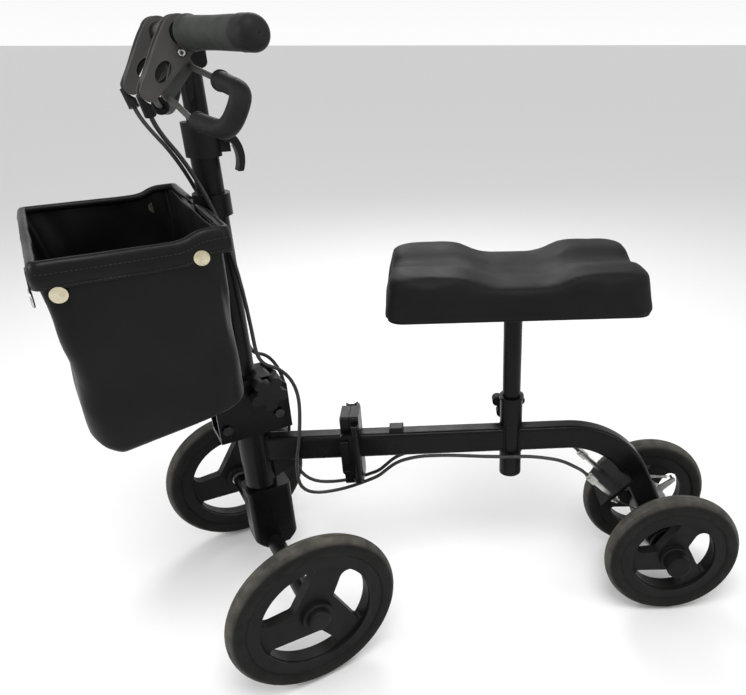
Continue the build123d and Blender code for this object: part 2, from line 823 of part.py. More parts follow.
def make_rim(centre, radius, inboard_drum):
    """Moulded three-spoke wheel with bearing seats, axis along Y."""
    ring_out = radius - tyre_deep
    ring_in = ring_out - rim_ring
    upright = Plane(origin=(0, 0, 0), x_dir=(1, 0, 0), z_dir=(0, -1, 0))
    rim = extrude(Circle(ring_out), rim_half, both=True)
    dish = extrude(Circle(ring_in) - Circle(hub_radius), rim_half, both=True)
    web = extrude(Circle(ring_in + 1) - Circle(hub_radius - 1), web_half, both=True)
    hub = extrude(Circle(hub_radius), hub_half, both=True)
    rim = rim - dish + web + hub
    rim = fillet(rim.edges().filter_by(GeomType.CIRCLE).filter_by(
        lambda edge: abs(edge.radius - hub_radius) < 0.1 and abs(edge.center().Z) > hub_half - 1
    ), 2.0)
    if inboard_drum:
        rim = rim + Pos(0, 0, inboard_drum * (hub_half + 2.5)) * Cylinder(27, 5)
    for turn in range(3):
        window = Rot(0, 0, 120 * turn) * spoke_window(ring_in - 1.0, 0.42 * ring_in)
        rim = rim - extrude(window, rim_half + 1, both=True)
    bore = extrude(Circle(axle_radius + 3.0), hub_half + 8, both=True)
    seat = extrude(Circle(bearing_radius + running), bearing_wide + 6)
    rim = rim - bore - Pos(0, 0, hub_half - bearing_wide) * seat
    rim = rim - Pos(0, 0, -hub_half - 6) * seat
    return Pos(*centre) * (upright * rim)


def make_tyre(centre, radius):
    """Solid tyre with a rounded tread, seated on the rim."""
    inner = radius - tyre_deep
    half = tyre_wide / 2
    section = make_face(
        Polyline((inner, -rim_half), (inner, rim_half), (inner + 5, half))
        + Line((inner + 5, half), (radius - 9, half))
        + ThreePointArc((radius - 9, half), (radius, 0), (radius - 9, -half))
        + Line((radius - 9, -half), (inner + 5, -half))
        + Line((inner + 5, -half), (inner, -rim_half))
    )
    upright = Plane(origin=(0, 0, 0), x_dir=(1, 0, 0), z_dir=(0, -1, 0))
    ring = revolve(Plane.XZ * section, Axis.Z)
    return Pos(*centre) * (upright * ring)


def make_bearing(side_y, z):
    """One ball bearing, drawn as its closed outer shape."""
    return tube((0, side_y, z), (0, side_y + bearing_wide, z), bearing_radius, axle_radius)


def bearing_set(track, z):
    """The four bearings of a pair of wheels."""
    middle = track / 2
    pair = [make_bearing(middle - hub_half, z), make_bearing(middle + hub_half - bearing_wide, z)]
    solids = []
    for bearing in pair:
        solids += bearing.solids()
        solids += mirrored(bearing).solids()
    return Compound(children=solids)


def make_hub_cap(track, z, radius, long):
    """Domed cap pushed on the end of the axle."""
    start = track / 2 + hub_half + gap
    cap = rod((0, start, z), (0, start + long, z), radius)
    outer = cap.edges().filter_by(GeomType.CIRCLE).sort_by(Axis.Y)[-1]
    cap = fillet(outer, 4.0)
    return cap - rod((0, start - 1, z), (0, start + long - 3, z), 10.0)


for side, sign in (("left", 1), ("right", -1)):
    front_centre = (0, sign * front_track / 2, front_radius)
    rear_centre = (0, sign * rear_track / 2, rear_radius)
    parts[f"rim_front_{side}"] = steered(make_rim(front_centre, front_radius, 0))
    parts[f"tyre_front_{side}"] = steered(make_tyre(front_centre, front_radius))
    parts[f"rim_rear_{side}"] = make_rim(rear_centre, rear_radius, sign)
    parts[f"tyre_rear_{side}"] = make_tyre(rear_centre, rear_radius)

rear_end = rear_track / 2 + hub_half + 8
tube_end = rear_track / 2 - hub_half - 8
parts["front_bearings"] = steered(bearing_set(front_track, front_radius))
parts["rear_bearings"] = bearing_set(rear_track, rear_radius)
parts["front_hub_caps"] = steered(both(make_hub_cap(front_track, front_radius, 15.0, 8.0)))
parts["rear_hub_caps"] = both(make_hub_cap(rear_track, rear_radius, 17.5, 19.0))
parts["rear_axle"] = rod((0, -rear_end, rear_radius), (0, rear_end, rear_radius), axle_radius)
parts["rear_axle_tube"] = tube(
    (0, -tube_end, rear_radius), (0, tube_end, rear_radius), axle_tube_radius, axle_radius
)


# -------------------------------------------------------------- rear brakes
arm_pivot = (-14.0, rear_radius + 27.0)
arm_tip = (14.0, rear_radius + 49.0)
spring_hook = (-36.0, rear_radius + 45.0)


def make_brake_plate():
    """Back plate clamped on the axle tube, with an ear for the brake arm."""
    low = tube_end - 9
    plate = tube((0, low, rear_radius), (0, low + 3, rear_radius), 31.0, axle_tube_radius)
    ear = rod((arm_pivot[0], low, arm_pivot[1]), (arm_pivot[0], low + 3, arm_pivot[1]), 8.0)
    ear = ear - rod((0, low - 1, rear_radius), (0, low + 4, rear_radius), 20.0)
    pin = rod((arm_pivot[0], low, arm_pivot[1]), (arm_pivot[0], low + 8, arm_pivot[1]), 3.0)
    plane = Plane(origin=(0, low, 0), x_dir=(1, 0, 0), z_dir=(0, -1, 0))
    outline = make_hull(
        (Pos(*arm_pivot) * Circle(6.0)).edges() + (Pos(*spring_hook) * Circle(4.0)).edges()
    )
    hook = rod((spring_hook[0], low, spring_hook[1]), (spring_hook[0], low + 13, spring_hook[1]), 2.0)
    return plate + ear + extrude(plane * outline, -3.0) + pin + hook


def make_brake_arm():
    """Brake arm on the plate's pin; the cable pulls its tip forward."""
    low = tube_end - 6 + gap
    plane = Plane(origin=(0, low, 0), x_dir=(1, 0, 0), z_dir=(0, -1, 0))
    outline = make_hull(
        (Pos(*arm_pivot) * Circle(7.0)).edges() + (Pos(*arm_tip) * Circle(5.0)).edges()
    )
    arm = extrude(plane * outline, -3.0)
    clamp = rod((arm_tip[0], low + 3, arm_tip[1]), (arm_tip[0], low + 10, arm_tip[1]), 4.0)
    hole = rod(
        (arm_pivot[0], low - 1, arm_pivot[1]), (arm_pivot[0], low + 9, arm_pivot[1]), 3.0 + running
    )
    return arm + clamp - hole


def make_brake_spring():
    """Return spring of the brake arm, drawn as its closed outer shape."""
    y = tube_end + 1
    hooked = (spring_hook[0] + 2.2, y, spring_hook[1])
    return rod(hooked, (arm_tip[0] - 4.3, y, arm_tip[1]), 3.0)


def make_adjuster():
    """Barrel adjuster screwed through the cable bracket, with its lock nut."""
    a = Vector(*adjuster_top)
    b = Vector(*adjuster_low)
    step = (b - a).normalized()
    barrel = rod(adjuster_top, adjuster_low, 4.0)
    knurl = rod(tuple(a + step * 4), tuple(a + step * 18), 6.0)
    nut = rod(tuple(a + step * 58), tuple(a + step * 63), 6.5)
    bore = rod(tuple(a - step), tuple(b + step), 1.0)
    return barrel + knurl + nut - bore


def make_rear_cable():
    """Cable along the underside of the beam, round the sleeve and to the adjuster."""
    clip = beam_height - beam_tall / 2 - cable_radius - 0.2
    return cable(
        [
            (448.7, 7.98, 208.62),
            (432.0, 7.0, 215.1),
            (404.0, 8.4, 240.0),
            (372.0, 8.2, clip - 0.8),
            (330.0, 9.0, clip - 0.5),
            (262.0, 19.6, clip),
            (206.0, 20.8, clip - 1),
            (165.0, 28.0, 243.0),
            (adjuster_top[0] + 9.0, adjuster_top[1], adjuster_top[2] + 9.0),
            adjuster_top,
        ]
    )


def make_arm_wire():
    """Bare inner wire from the adjuster to the brake arm's clamp."""
    low = tube_end - 6 + gap
    end = (arm_tip[0] + 4.2, low + 5, arm_tip[1] + 1)
    return cable([adjuster_low, (52.0, 39.0, 158.0), end], 0.9)


def make_cable_loop_left():
    """Cable from the column foot past the left of the head tube and under the beam hinge."""
    return cable(
        [
            steered_point(-17.01, 19.99, 429.7),
            steered_point(-17.8, 19.4, 405.0),
            steered_point(-46.0, 29.0, 393.0),
            steered_point(-60.0, 42.0, 362.0),
            (532.0, 20.0, 312.0),
            (546.0, 24.0, 250.0),
            (543.0, 17.0, 196.0),
            (484.0, 10.0, 195.0),
            (449.0, 8.0, 208.5),
        ]
    )


def make_cable_loop_right():
    """The same for the right-hand cable."""
    return cable(
        [
            steered_point(-17.01, -19.99, 429.7),
            steered_point(-17.8, -19.4, 405.0),
            steered_point(-44.0, -29.0, 393.0),
            steered_point(-60.0, -31.0, 360.0),
            steered_point(-63.0, -29.0, 312.0),
            (566.0, -36.0, 245.0),
            (546.0, -18.0, 194.0),
            (484.0, -10.0, 195.0),
            (449.0, -8.0, 208.5),
        ]
    )


parts["brake_plates"] = both(make_brake_plate())
parts["brake_arm_left"] = make_brake_arm()
parts["brake_arm_right"] = mirrored(make_brake_arm())
parts["brake_springs"] = both(make_brake_spring())
parts["cable_adjusters"] = both(make_adjuster())
cable_runs = both(make_rear_cable())
wire_runs = both(make_arm_wire())
parts["rear_cables"] = Compound(
    children=list(cable_runs.solids()) + list(wire_runs.solids())
)
parts["cable_loops"] = Compound(
    children=list(make_cable_loop_left().solids()) + list(make_cable_loop_right().solids())
)


# ---------------------------------------------------------------- knee pad
def make_pad_post():
    """Post with the steel plate under the pad and its socket, welded as one piece."""
    low = pad_bottom - plate_under_pad
    plate = block(post_x - 105, post_x + 105, -55, 55, low, pad_bottom)
    plate = fillet(plate.edges().filter_by(Axis.Z), 12.0)
    socket = rod((post_x, 0, low - 20), (post_x, 0, low), post_radius + 3.5)
    post = rod((post_x, 0, post_bottom), (post_x, 0, low), post_radius)
    hollow = rod((post_x, 0, post_bottom - 1), (post_x, 0, low), post_radius - post_wall)
    return plate + socket + post - hollow


def make_pad():
    """Knee pad: moulded cushion with a scooped top, plain here."""
    half = pad_wide / 2
    back = post_x - pad_long / 2
    pad = block(back, back + pad_long, -half, half, pad_bottom, pad_bottom + pad_thick)
    pad = fillet(pad.edges().filter_by(Axis.Z), 22.0)
    pad = fillet(pad.edges().group_by(Axis.Z)[-1], 12.0)
    top = pad_bottom + pad_thick
    cross_radius_pad = 75.0
    scoop = rod(
        (post_x, -half - 5, top + cross_radius_pad - 13),
        (post_x, half + 5, top + cross_radius_pad - 13),
        cross_radius_pad,
    )
    return pad - scoop


post_knob_plane = Plane(
    origin=(post_x, -26 - gap, post_knob_height), z_dir=(0, -1, 0), x_dir=(1, 0, 0)
)
parts["pad_post"] = make_pad_post()
parts["knee_pad"] = make_pad()
parts["post_knob"] = star_knob(post_knob_plane, 26 - post_radius - gap, 5.0)


# --------------------------------------------------------------- write files
whole = Compound(children=[Compound(children=list(p.solids())) for p in parts.values()])
box = whole.bounding_box()
middle_x = (box.min.X + box.max.X) / 2
middle_y = (box.min.Y + box.max.Y) / 2
print("overall size", box.size, "moved by", round(-middle_x, 3), round(-middle_y, 3))
os.makedirs("parts", exist_ok=True)
for name, shape in parts.items():
    solids = [Pos(-middle_x, -middle_y, -box.min.Z) * solid for solid in shape.solids()]
    placed = solids[0] if len(solids) == 1 else Compound(children=solids)
    placed.label = name
    export_step(placed, f"parts/{name}.step")
    print(name, len(solids), "solids", round(sum(solid.volume for solid in solids)), "mm3")
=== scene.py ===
import json
import math

import bmesh
import bpy
from mathutils import Matrix, Vector, noise


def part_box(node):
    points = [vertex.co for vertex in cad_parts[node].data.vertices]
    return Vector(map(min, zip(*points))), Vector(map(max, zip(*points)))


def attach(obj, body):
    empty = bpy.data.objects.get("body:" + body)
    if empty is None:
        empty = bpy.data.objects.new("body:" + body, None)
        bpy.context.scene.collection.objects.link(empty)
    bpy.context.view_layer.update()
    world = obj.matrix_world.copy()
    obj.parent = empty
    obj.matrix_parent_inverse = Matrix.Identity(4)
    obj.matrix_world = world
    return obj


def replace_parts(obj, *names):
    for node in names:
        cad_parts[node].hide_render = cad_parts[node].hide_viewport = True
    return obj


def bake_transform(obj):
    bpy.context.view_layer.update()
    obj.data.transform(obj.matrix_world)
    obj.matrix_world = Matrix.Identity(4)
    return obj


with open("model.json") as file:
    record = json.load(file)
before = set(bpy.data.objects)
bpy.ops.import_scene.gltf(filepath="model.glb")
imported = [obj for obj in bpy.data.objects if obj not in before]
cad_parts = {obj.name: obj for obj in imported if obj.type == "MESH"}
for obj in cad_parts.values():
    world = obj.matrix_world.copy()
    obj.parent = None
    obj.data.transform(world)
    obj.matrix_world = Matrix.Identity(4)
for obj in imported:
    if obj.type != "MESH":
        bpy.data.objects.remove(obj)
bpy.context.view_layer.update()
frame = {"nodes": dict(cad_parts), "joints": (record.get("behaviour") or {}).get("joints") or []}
nodes = frame["nodes"]
joints = {joint["name"]: joint for joint in frame["joints"]}


# where things are: everything below is worked out from the frame, sizes are in mm
def middle(node):
    low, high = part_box(node)
    return (low + high) / 2


mm = 0.001
axleX = middle("rear_axle").x                                # rear axle, the drawing's zero
headAt = Vector(joints["steer"]["pos_m"])                    # steering axis
barsAxis = Vector(joints["lever_left_squeeze"]["axis"])      # across the turned handlebar
restTurn = math.atan2(-barsAxis.x, barsAxis.y)


def at(x, y, z):                                             # drawing mm to metres
    return Vector((axleX + x * mm, y * mm, z * mm))


def turned(x, y, z):                                         # mm about the steering axis, bars turned
    c, s = math.cos(restTurn), math.sin(restTurn)
    return Vector((headAt.x + (x * c - y * s) * mm, (x * s + y * c) * mm, z * mm))


def smoothStep(t):
    t = min(max(t, 0.0), 1.0)
    return t * t * (3 - 2 * t)


def placed(name, data):
    thing = bpy.data.objects.new(name, data)
    bpy.context.scene.collection.objects.link(thing)
    return thing


# camera and light
cameraSet = {"place": (342.7, 837.6, 796.7), "yaw": -0.0758, "pitch": -0.4616,
             "lens": 32.62, "shiftX": -0.146, "shiftY": 0.031}


def makeCamera():
    data = bpy.data.cameras.new("sceneCamera")
    data.lens = cameraSet["lens"]
    data.sensor_width = 36.0
    data.shift_x = cameraSet["shiftX"]
    data.shift_y = cameraSet["shiftY"]
    camera = placed("sceneCamera", data)
    camera.location = at(*cameraSet["place"])
    yaw, pitch = cameraSet["yaw"], cameraSet["pitch"]
    look = Vector((math.sin(yaw) * math.cos(pitch), -math.cos(yaw) * math.cos(pitch), math.sin(pitch)))
    camera.rotation_euler = look.to_track_quat("-Z", "Y").to_euler()
    bpy.context.scene.camera = camera


lightSet = {"key": ((250, 900, 2000), 1.0, 20), "left": ((1900, 700, 1100), 0.7, 8),
            "right": ((-1300, 900, 1200), 0.7, 6), "back": ((500, -1600, 1700), 1.0, 16)}
skySet = {"strength": 0.98, "level": 1.0, "overhead": 0.72, "fade": 0.35}   # white level with the eye, greyer above


def makeLights():
    for name, (place, size, power) in lightSet.items():
        data = bpy.data.lights.new(name + "Light", "AREA")
        data.shape = "DISK"
        data.size = size
        data.energy = power
        lamp = placed(name + "Light", data)
        lamp.location = at(*place)
        lamp.rotation_euler = (at(330, 0, 350) - lamp.location).to_track_quat("-Z", "Y").to_euler()
    bpy.context.scene.view_settings.view_transform = "Standard"
    world = bpy.data.worlds.new("studioWorld")
    bpy.context.scene.world = world
    world.use_nodes = True
    tree = world.node_tree
    sky = tree.nodes["Background"]
    upward = tree.nodes.new("ShaderNodeSeparateXYZ")
    tree.links.new(tree.nodes.new("ShaderNodeTexCoord").outputs["Generated"], upward.inputs["Vector"])
    shade = tree.nodes.new("ShaderNodeMapRange")
    for socket, number in (("From Min", 0.0), ("From Max", skySet["fade"]), ("To Min", skySet["level"]),
                           ("To Max", skySet["overhead"])):
        shade.inputs[socket].default_value = number
    tree.links.new(upward.outputs["Z"], shade.inputs["Value"])
    tree.links.new(shade.outputs["Result"], sky.inputs["Color"])
    sky.inputs["Strength"].default_value = skySet["strength"]


# material helpers
class Recipe:
    # a material and short ways to add nodes to it
    def __init__(self, name, **shader):
        self.material = bpy.data.materials.new(name)
        self.material.use_nodes = True
        self.tree = self.material.node_tree
        self.shader = self.tree.nodes["Principled BSDF"]
        for socket, value in shader.items():
            self.shader.inputs[socket.replace("_", " ")].default_value = value
        self.coords = self.tree.nodes.new("ShaderNodeTexCoord").outputs["Object"]

    def node(self, kind, **inputs):
        made = self.tree.nodes.new("ShaderNode" + kind)
        for socket, value in inputs.items():
            self.feed(made.inputs[socket.replace("_", " ")], value)
        return made

    def feed(self, socket, value):
        if isinstance(value, bpy.types.NodeSocket):
            self.tree.links.new(value, socket)
        else:
            socket.default_value = value

    def maths(self, operation, a, b=0.0):
        made = self.tree.nodes.new("ShaderNodeMath")
        made.operation = operation
        self.feed(made.inputs[0], a)
        self.feed(made.inputs[1], b)
        return made.outputs[0]

    def noise(self, scale, detail, vector=None):
        made = self.node("TexNoise", Vector=vector or self.coords, Scale=scale, Detail=detail)
        made.inputs["Roughness"].default_value = 0.55
        return made.outputs["Fac"]

    def cells(self, scale, feature="F1"):
        made = self.node("TexVoronoi", Vector=self.coords, Scale=scale)
        made.feature = feature
        return made.outputs["Distance"]

    def ranged(self, value, low, high, outLow=0.0, outHigh=1.0):
        made = self.node("MapRange", Value=value)
        for socket, number in (("From Min", low), ("From Max", high), ("To Min", outLow), ("To Max", outHigh)):
            made.inputs[socket].default_value = number
        return made.outputs["Result"]

    def patches(self, scale, detail, outLow=0.0, outHigh=1.0):   # soft patches of noise
        return self.ranged(self.noise(scale, detail), 0.3, 0.7, outLow, outHigh)

    def mixed(self, factor, a, b):
        made = self.tree.nodes.new("ShaderNodeMix")
        made.data_type = "RGBA"
        self.feed(made.inputs[0], factor)
        for index, value in ((6, a), (7, b)):
            if isinstance(value, bpy.types.NodeSocket):
                self.tree.links.new(value, made.inputs[index])
            else:
                made.inputs[index].default_value = (*value, 1.0)
        return made.outputs[2]

    def colour(self, value):
        self.feed(self.shader.inputs["Base Color"], value)

    def rough(self, value):
        self.feed(self.shader.inputs["Roughness"], value)

    def bump(self, *layers):                                # each layer is (height, distance, strength)
        last = None
        for height, distance, strength in layers:
            made = self.node("Bump", Height=height)
            made.inputs["Distance"].default_value = distance
            made.inputs["Strength"].default_value = strength
            if last:
                self.tree.links.new(last, made.inputs["Normal"])
            last = made.outputs["Normal"]
        self.tree.links.new(last, self.shader.inputs["Normal"])

    def dust(self):                                         # 1 on faces that look up, broken by noise
        normal = self.node("NewGeometry").outputs["Normal"]
        up = self.node("SeparateXYZ", Vector=normal).outputs["Z"]
        return self.maths("MULTIPLY", self.ranged(up, 0.3, 1.0), self.ranged(self.noise(22, 6), 0.42, 0.7))


def powderCoat():
    r = Recipe("powderCoat", Specular_IOR_Level=0.12, Coat_Weight=0.02, Coat_Roughness=0.18)
    patch = r.patches(9, 5)
    paint = r.mixed(patch, (0.0022, 0.0022, 0.0024), (0.0045, 0.0045, 0.0047))
    r.colour(r.mixed(r.maths("MULTIPLY", r.dust(), 0.05), paint, (0.12, 0.115, 0.105)))
    r.rough(r.patches(35, 6, 0.24, 0.38))
    r.bump((r.noise(900, 2), 0.0004, 0.16), (r.cells(340), 0.0004, 0.05))
    return r.material


def mouldedPlastic(name, dark, light, shine=0.46):
    r = Recipe(name, Specular_IOR_Level=0.13)
    patch = r.patches(14, 5)
    r.colour(r.mixed(r.maths("MULTIPLY", r.dust(), 0.05), r.mixed(patch, dark, light), (0.17, 0.16, 0.14)))
    r.rough(r.patches(60, 5, shine - 0.05, shine + 0.12))
    r.bump((r.cells(1300), 0.0003, 0.22), (r.noise(240, 4), 0.0005, 0.08))
    return r.material


def tyreRubber(wheel, centre, turn, radius):
    # tread dust by distance from the axle, faint rings on the sidewall
    r = Recipe("tyreRubber_" + wheel, Specular_IOR_Level=0.15)
    moved = r.node("Mapping", Vector=r.coords)
    moved.inputs["Location"].default_value = -centre
    aligned = r.node("Mapping", Vector=moved.outputs["Vector"])
    aligned.inputs["Rotation"].default_value = (0, 0, -turn)
    parts = r.node("SeparateXYZ", Vector=aligned.outputs["Vector"])
    x, y, z = parts.outputs["X"], parts.outputs["Y"], parts.outputs["Z"]
    away = r.maths("SQRT", r.maths("ADD", r.maths("MULTIPLY", x, x), r.maths("MULTIPLY", z, z)))
    tread = r.ranged(away, radius - 0.0070, radius - 0.0025)
    blotch = r.ranged(r.noise(30, 7), 0.3, 0.68, 0.25, 1.0)
    worn = r.mixed(r.noise(75, 6), (0.040, 0.037, 0.031), (0.150, 0.138, 0.118))
    dark = r.mixed(r.noise(40, 6), (0.0045, 0.0045, 0.0043), (0.0095, 0.009, 0.0083))
    r.colour(r.mixed(r.maths("MULTIPLY", tread, blotch), dark, worn))
    r.rough(r.patches(50, 5, 0.5, 0.8))
    rings = r.maths("SINE", r.maths("MULTIPLY", away, 2400.0))
    ribs = r.maths("SINE", r.maths("MULTIPLY", y, 1500.0))
    r.bump((rings, 0.0002, 0.12), (ribs, 0.0003, 0.10), (r.noise(420, 6), 0.0006, 0.35))
    return r.material


def bareMetal(name, dark, light, shine, scratch=0.10):
    r = Recipe(name, Metallic=1.0)
    long = r.node("Mapping", Vector=r.coords)
    long.inputs["Scale"].default_value = (40, 900, 900)
    streak = r.noise(3.0, 6, vector=long.outputs["Vector"])
    stain = r.ranged(r.noise(60, 7), 0.35, 0.75)
    r.colour(r.mixed(stain, light, dark))
    r.rough(r.ranged(streak, 0.3, 0.7, shine - 0.07, shine + 0.14))
    r.bump((streak, 0.0002, scratch), (r.noise(500, 3), 0.0002, 0.08))
    return r.material


def gripRubber(name, dark, light):
    r = Recipe(name, Specular_IOR_Level=0.16, Sheen_Weight=0.01, Sheen_Roughness=0.5)
    wear = r.ranged(r.noise(28, 6), 0.35, 0.7)
    r.colour(r.mixed(wear, dark, light))
    r.rough(r.patches(90, 5, 0.5, 0.68))
    r.bump((r.cells(900), 0.0004, 0.25), (r.noise(160, 4), 0.0006, 0.10))
    return r.material


def coatedCloth():
    # black coated bag fabric: tight plain weave under a glossy film, with soft creases
    r = Recipe("coatedCloth", Specular_IOR_Level=0.14, Coat_Weight=0.04, Coat_Roughness=0.20)
    patch = r.patches(7, 6)
    r.colour(r.mixed(patch, (0.0022, 0.0022, 0.0024), (0.0052, 0.0050, 0.0052)))
    r.rough(r.patches(16, 6, 0.30, 0.50))
    turnedCoords = r.node("Mapping", Vector=r.coords)
    turnedCoords.inputs["Rotation"].default_value = (0, 0, -restTurn)
    parts = r.node("SeparateXYZ", Vector=turnedCoords.outputs["Vector"])
    across = r.maths("ADD", parts.outputs["X"], parts.outputs["Y"])
    warp = r.maths("SINE", r.maths("MULTIPLY", across, 5200.0))
    weft = r.maths("SINE", r.maths("MULTIPLY", parts.outputs["Z"], 5200.0))
    weave = r.maths("MULTIPLY", warp, weft)
    r.bump((r.noise(26, 5), 0.004, 0.16), (r.noise(110, 4), 0.001, 0.10), (weave, 0.0002, 0.16))
    return r.material


def padSkin():
    # moulded skin with a fine pebble grain and a little dust on faces that look up
    r = Recipe("padSkin", Specular_IOR_Level=0.11)
    patch = r.patches(10, 6)
    skin = r.mixed(patch, (0.0040, 0.0040, 0.0043), (0.0075, 0.0075, 0.0079))
    r.colour(r.mixed(r.maths("MULTIPLY", r.dust(), 0.03), skin, (0.12, 0.115, 0.11)))
    r.rough(r.patches(20, 6, 0.50, 0.66))
    pebble = r.cells(620, "DISTANCE_TO_EDGE")
    r.bump((r.noise(18, 4), 0.003, 0.08), (pebble, 0.0006, 0.30), (r.noise(1400, 2), 0.0002, 0.15))
    return r.material


def cableSheath():
    r = Recipe("cableSheath", Specular_IOR_Level=0.4)
    patch = r.patches(40, 5)
    r.colour(r.mixed(patch, (0.009, 0.009, 0.009), (0.022, 0.021, 0.02)))
    r.rough(r.patches(120, 4, 0.30, 0.44))
    r.bump((r.noise(700, 3), 0.0003, 0.15))
    return r.material


paint = powderCoat()
plastic = mouldedPlastic("blackPlastic", (0.0045, 0.0045, 0.0045), (0.009, 0.009, 0.0088))
capPlastic = mouldedPlastic("capPlastic", (0.0035, 0.0035, 0.0035), (0.006, 0.006, 0.006), 0.6)
housingPlastic = mouldedPlastic("housingPlastic", (0.040, 0.038, 0.036), (0.062, 0.059, 0.056), 0.42)
leverCoat = mouldedPlastic("leverCoat", (0.045, 0.048, 0.042), (0.075, 0.078, 0.07), 0.36)
zinc = bareMetal("zincSteel", (0.30, 0.29, 0.27), (0.62, 0.62, 0.60), 0.30)
darkSteel = bareMetal("blackenedSteel", (0.012, 0.012, 0.012), (0.05, 0.05, 0.05), 0.36)
brass = bareMetal("agedBrass", (0.42, 0.36, 0.22), (0.78, 0.72, 0.54), 0.26, 0.05)
gripSkin = gripRubber("gripSkin", (0.020, 0.022, 0.019), (0.034, 0.037, 0.032))
darkRubber = gripRubber("darkRubber", (0.0060, 0.0060, 0.0060), (0.0115, 0.0113, 0.011))
cloth = coatedCloth()
skin = padSkin()
sheath = cableSheath()
thread = gripRubber("stitchThread", (0.012, 0.012, 0.012), (0.03, 0.03, 0.03))
print("materials made")


# mesh helpers
def newPiece(name, mesh, material, body=None, smooth=True):
    piece = placed(name, mesh)
    mesh.materials.clear()
    mesh.materials.append(material)
    if smooth:
        mesh.polygons.foreach_set("use_smooth", [True] * len(mesh.polygons))
    if body:
        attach(piece, body)
    return piece


def meshFrom(name, points, faces, fixNormals=False):
    mesh = bpy.data.meshes.new(name)
    mesh.from_pydata([tuple(p) for p in points], [], faces)
    if fixNormals:
        work = bmesh.new()
        work.from_mesh(mesh)
        bmesh.ops.remove_doubles(work, verts=work.verts, dist=1e-6)
        bmesh.ops.recalc_face_normals(work, faces=work.faces)
        work.to_mesh(mesh)
        work.free()
    mesh.update()
    return mesh


def asMesh(temporary, name):
    # the evaluated object as a plain mesh; the temporary object goes away
    bpy.context.view_layer.update()
    graph = bpy.context.evaluated_depsgraph_get()
    mesh = bpy.data.meshes.new_from_object(temporary.evaluated_get(graph))
    mesh.name = name
    bpy.data.objects.remove(temporary)
    return mesh


def pathCurve(name, points, radius=0.0, cyclic=False, fine=4, sides=5):
    curve = bpy.data.curves.new(name, "CURVE")
    curve.dimensions = "3D"
    curve.bevel_depth = radius
    curve.bevel_resolution = sides
    curve.resolution_u = fine
    curve.use_fill_caps = True
    spline = curve.splines.new("NURBS")
    spline.points.add(len(points) - 1)
    for point, place in zip(spline.points, points):
        point.co = (*place, 1)
    spline.use_cyclic_u = cyclic
    spline.order_u = 3
    spline.use_endpoint_u = not cyclic
    return placed(name, curve)


def tubeMesh(name, points, radius, **how):
    return asMesh(pathCurve(name, points, radius, **how), name)


def ringFaces(rings, count, closed=False):
    # quads between rings of points that follow each other, and back to the first when closed
    faces = []
    for k in range(rings if closed else rings - 1):
        here, there = k * count, (k + 1) % rings * count
        for j in range(count):
            after = (j + 1) % count
            faces.append((here + j, here + after, there + after, there + j))
    return faces


def joined(name, meshes):
    work = bmesh.new()
    for mesh in meshes:
        work.from_mesh(mesh)
    result = bpy.data.meshes.new(name)
    work.to_mesh(result)
    work.free()
    return result


def lathe(name, profile, centre, axis, steps=72):
    # a closed profile of (along, radius) in mm turned about an axis
    axis = Vector(axis).normalized()
    side = Vector((0, 0, 1)).cross(axis).normalized()
    up = axis.cross(side)
    points = []
    for step in range(steps):
        turn = 2 * math.pi * step / steps
        out = side * math.cos(turn) + up * math.sin(turn)
        for along, radius in profile:
            points.append(Vector(centre) + axis * (along * mm) + out * (radius * mm))
    return meshFrom(name, points, ringFaces(steps, len(profile), closed=True), fixNormals=True)


def lineSpots(points, cyclic=False, fine=8):
    # places along a smooth line through a few control points
    mesh = asMesh(pathCurve("line", points, cyclic=cyclic, fine=fine), "line")
    spots = [vertex.co.copy() for vertex in mesh.vertices]
    bpy.data.meshes.remove(mesh)
    return spots


def sweepAlong(name, spots, profile, wobble=0.0, up=(0, 0, 1)):
    # a closed profile of (outward, up) in mm carried along the spots, outward to the right of the way
    points = []
    count, total = len(profile), len(spots)
    for k, spot in enumerate(spots):
        way = (spots[min(k + 1, total - 1)] - spots[max(k - 1, 0)]).normalized()
        side = way.cross(Vector(up)).normalized()
        lift = side.cross(way)
        for out, high in profile:
            place = spot + side * out * mm + lift * high * mm
            if wobble:
                place += side * noise.noise(place * 38) * wobble * mm
            points.append(place)
    faces = ringFaces(total, count)
    faces.append(tuple(range(count)))                         # both ends closed
    faces.append(tuple((total - 1) * count + j for j in reversed(range(count))))
    return meshFrom(name, points, faces, fixNormals=True)


def roundProfile(wide, tall, count=16):
    turns = [2 * math.pi * k / count for k in range(count)]
    return [(wide * math.cos(a), tall * math.sin(a)) for a in turns]


makeCamera()
makeLights()
print("camera and light set")


# geometry nodes: beads and stitches that follow a line, coils
class NodeTree:
    # a geometry node tree with named inputs, kept by the identifiers of its sockets
    def __init__(self, name, inputs):
        self.tree = bpy.data.node_groups.new(name, "GeometryNodeTree")
        face = self.tree.interface
        face.new_socket("Geometry", in_out="INPUT", socket_type="NodeSocketGeometry")
        face.new_socket("Geometry", in_out="OUTPUT", socket_type="NodeSocketGeometry")
        self.keys = {}
        for label, kind, value in inputs:
            made = face.new_socket(label, in_out="INPUT", socket_type="NodeSocket" + kind)
            if value is not None:
                made.default_value = value
            self.keys[label] = made.identifier
        self.source = self.tree.nodes.new("NodeGroupInput")
        self.end = self.tree.nodes.new("NodeGroupOutput")

    def add(self, kind, links=(), **values):
        made = self.tree.nodes.new(kind)
        for key, value in values.items():
            setattr(made, key, value)
        for socket, source in dict(links).items():
            if isinstance(source, bpy.types.NodeSocket):
                self.tree.links.new(source, made.inputs[socket])
            else:
                made.inputs[socket].default_value = source
        return made

    def run(self, piece, name, **values):
        modifier = piece.modifiers.new("grow", "NODES")
        modifier.node_group = self.tree
        for label, value in values.items():
            modifier[self.keys[label]] = value
        piece.update_tag()
        return asMesh(piece, name)


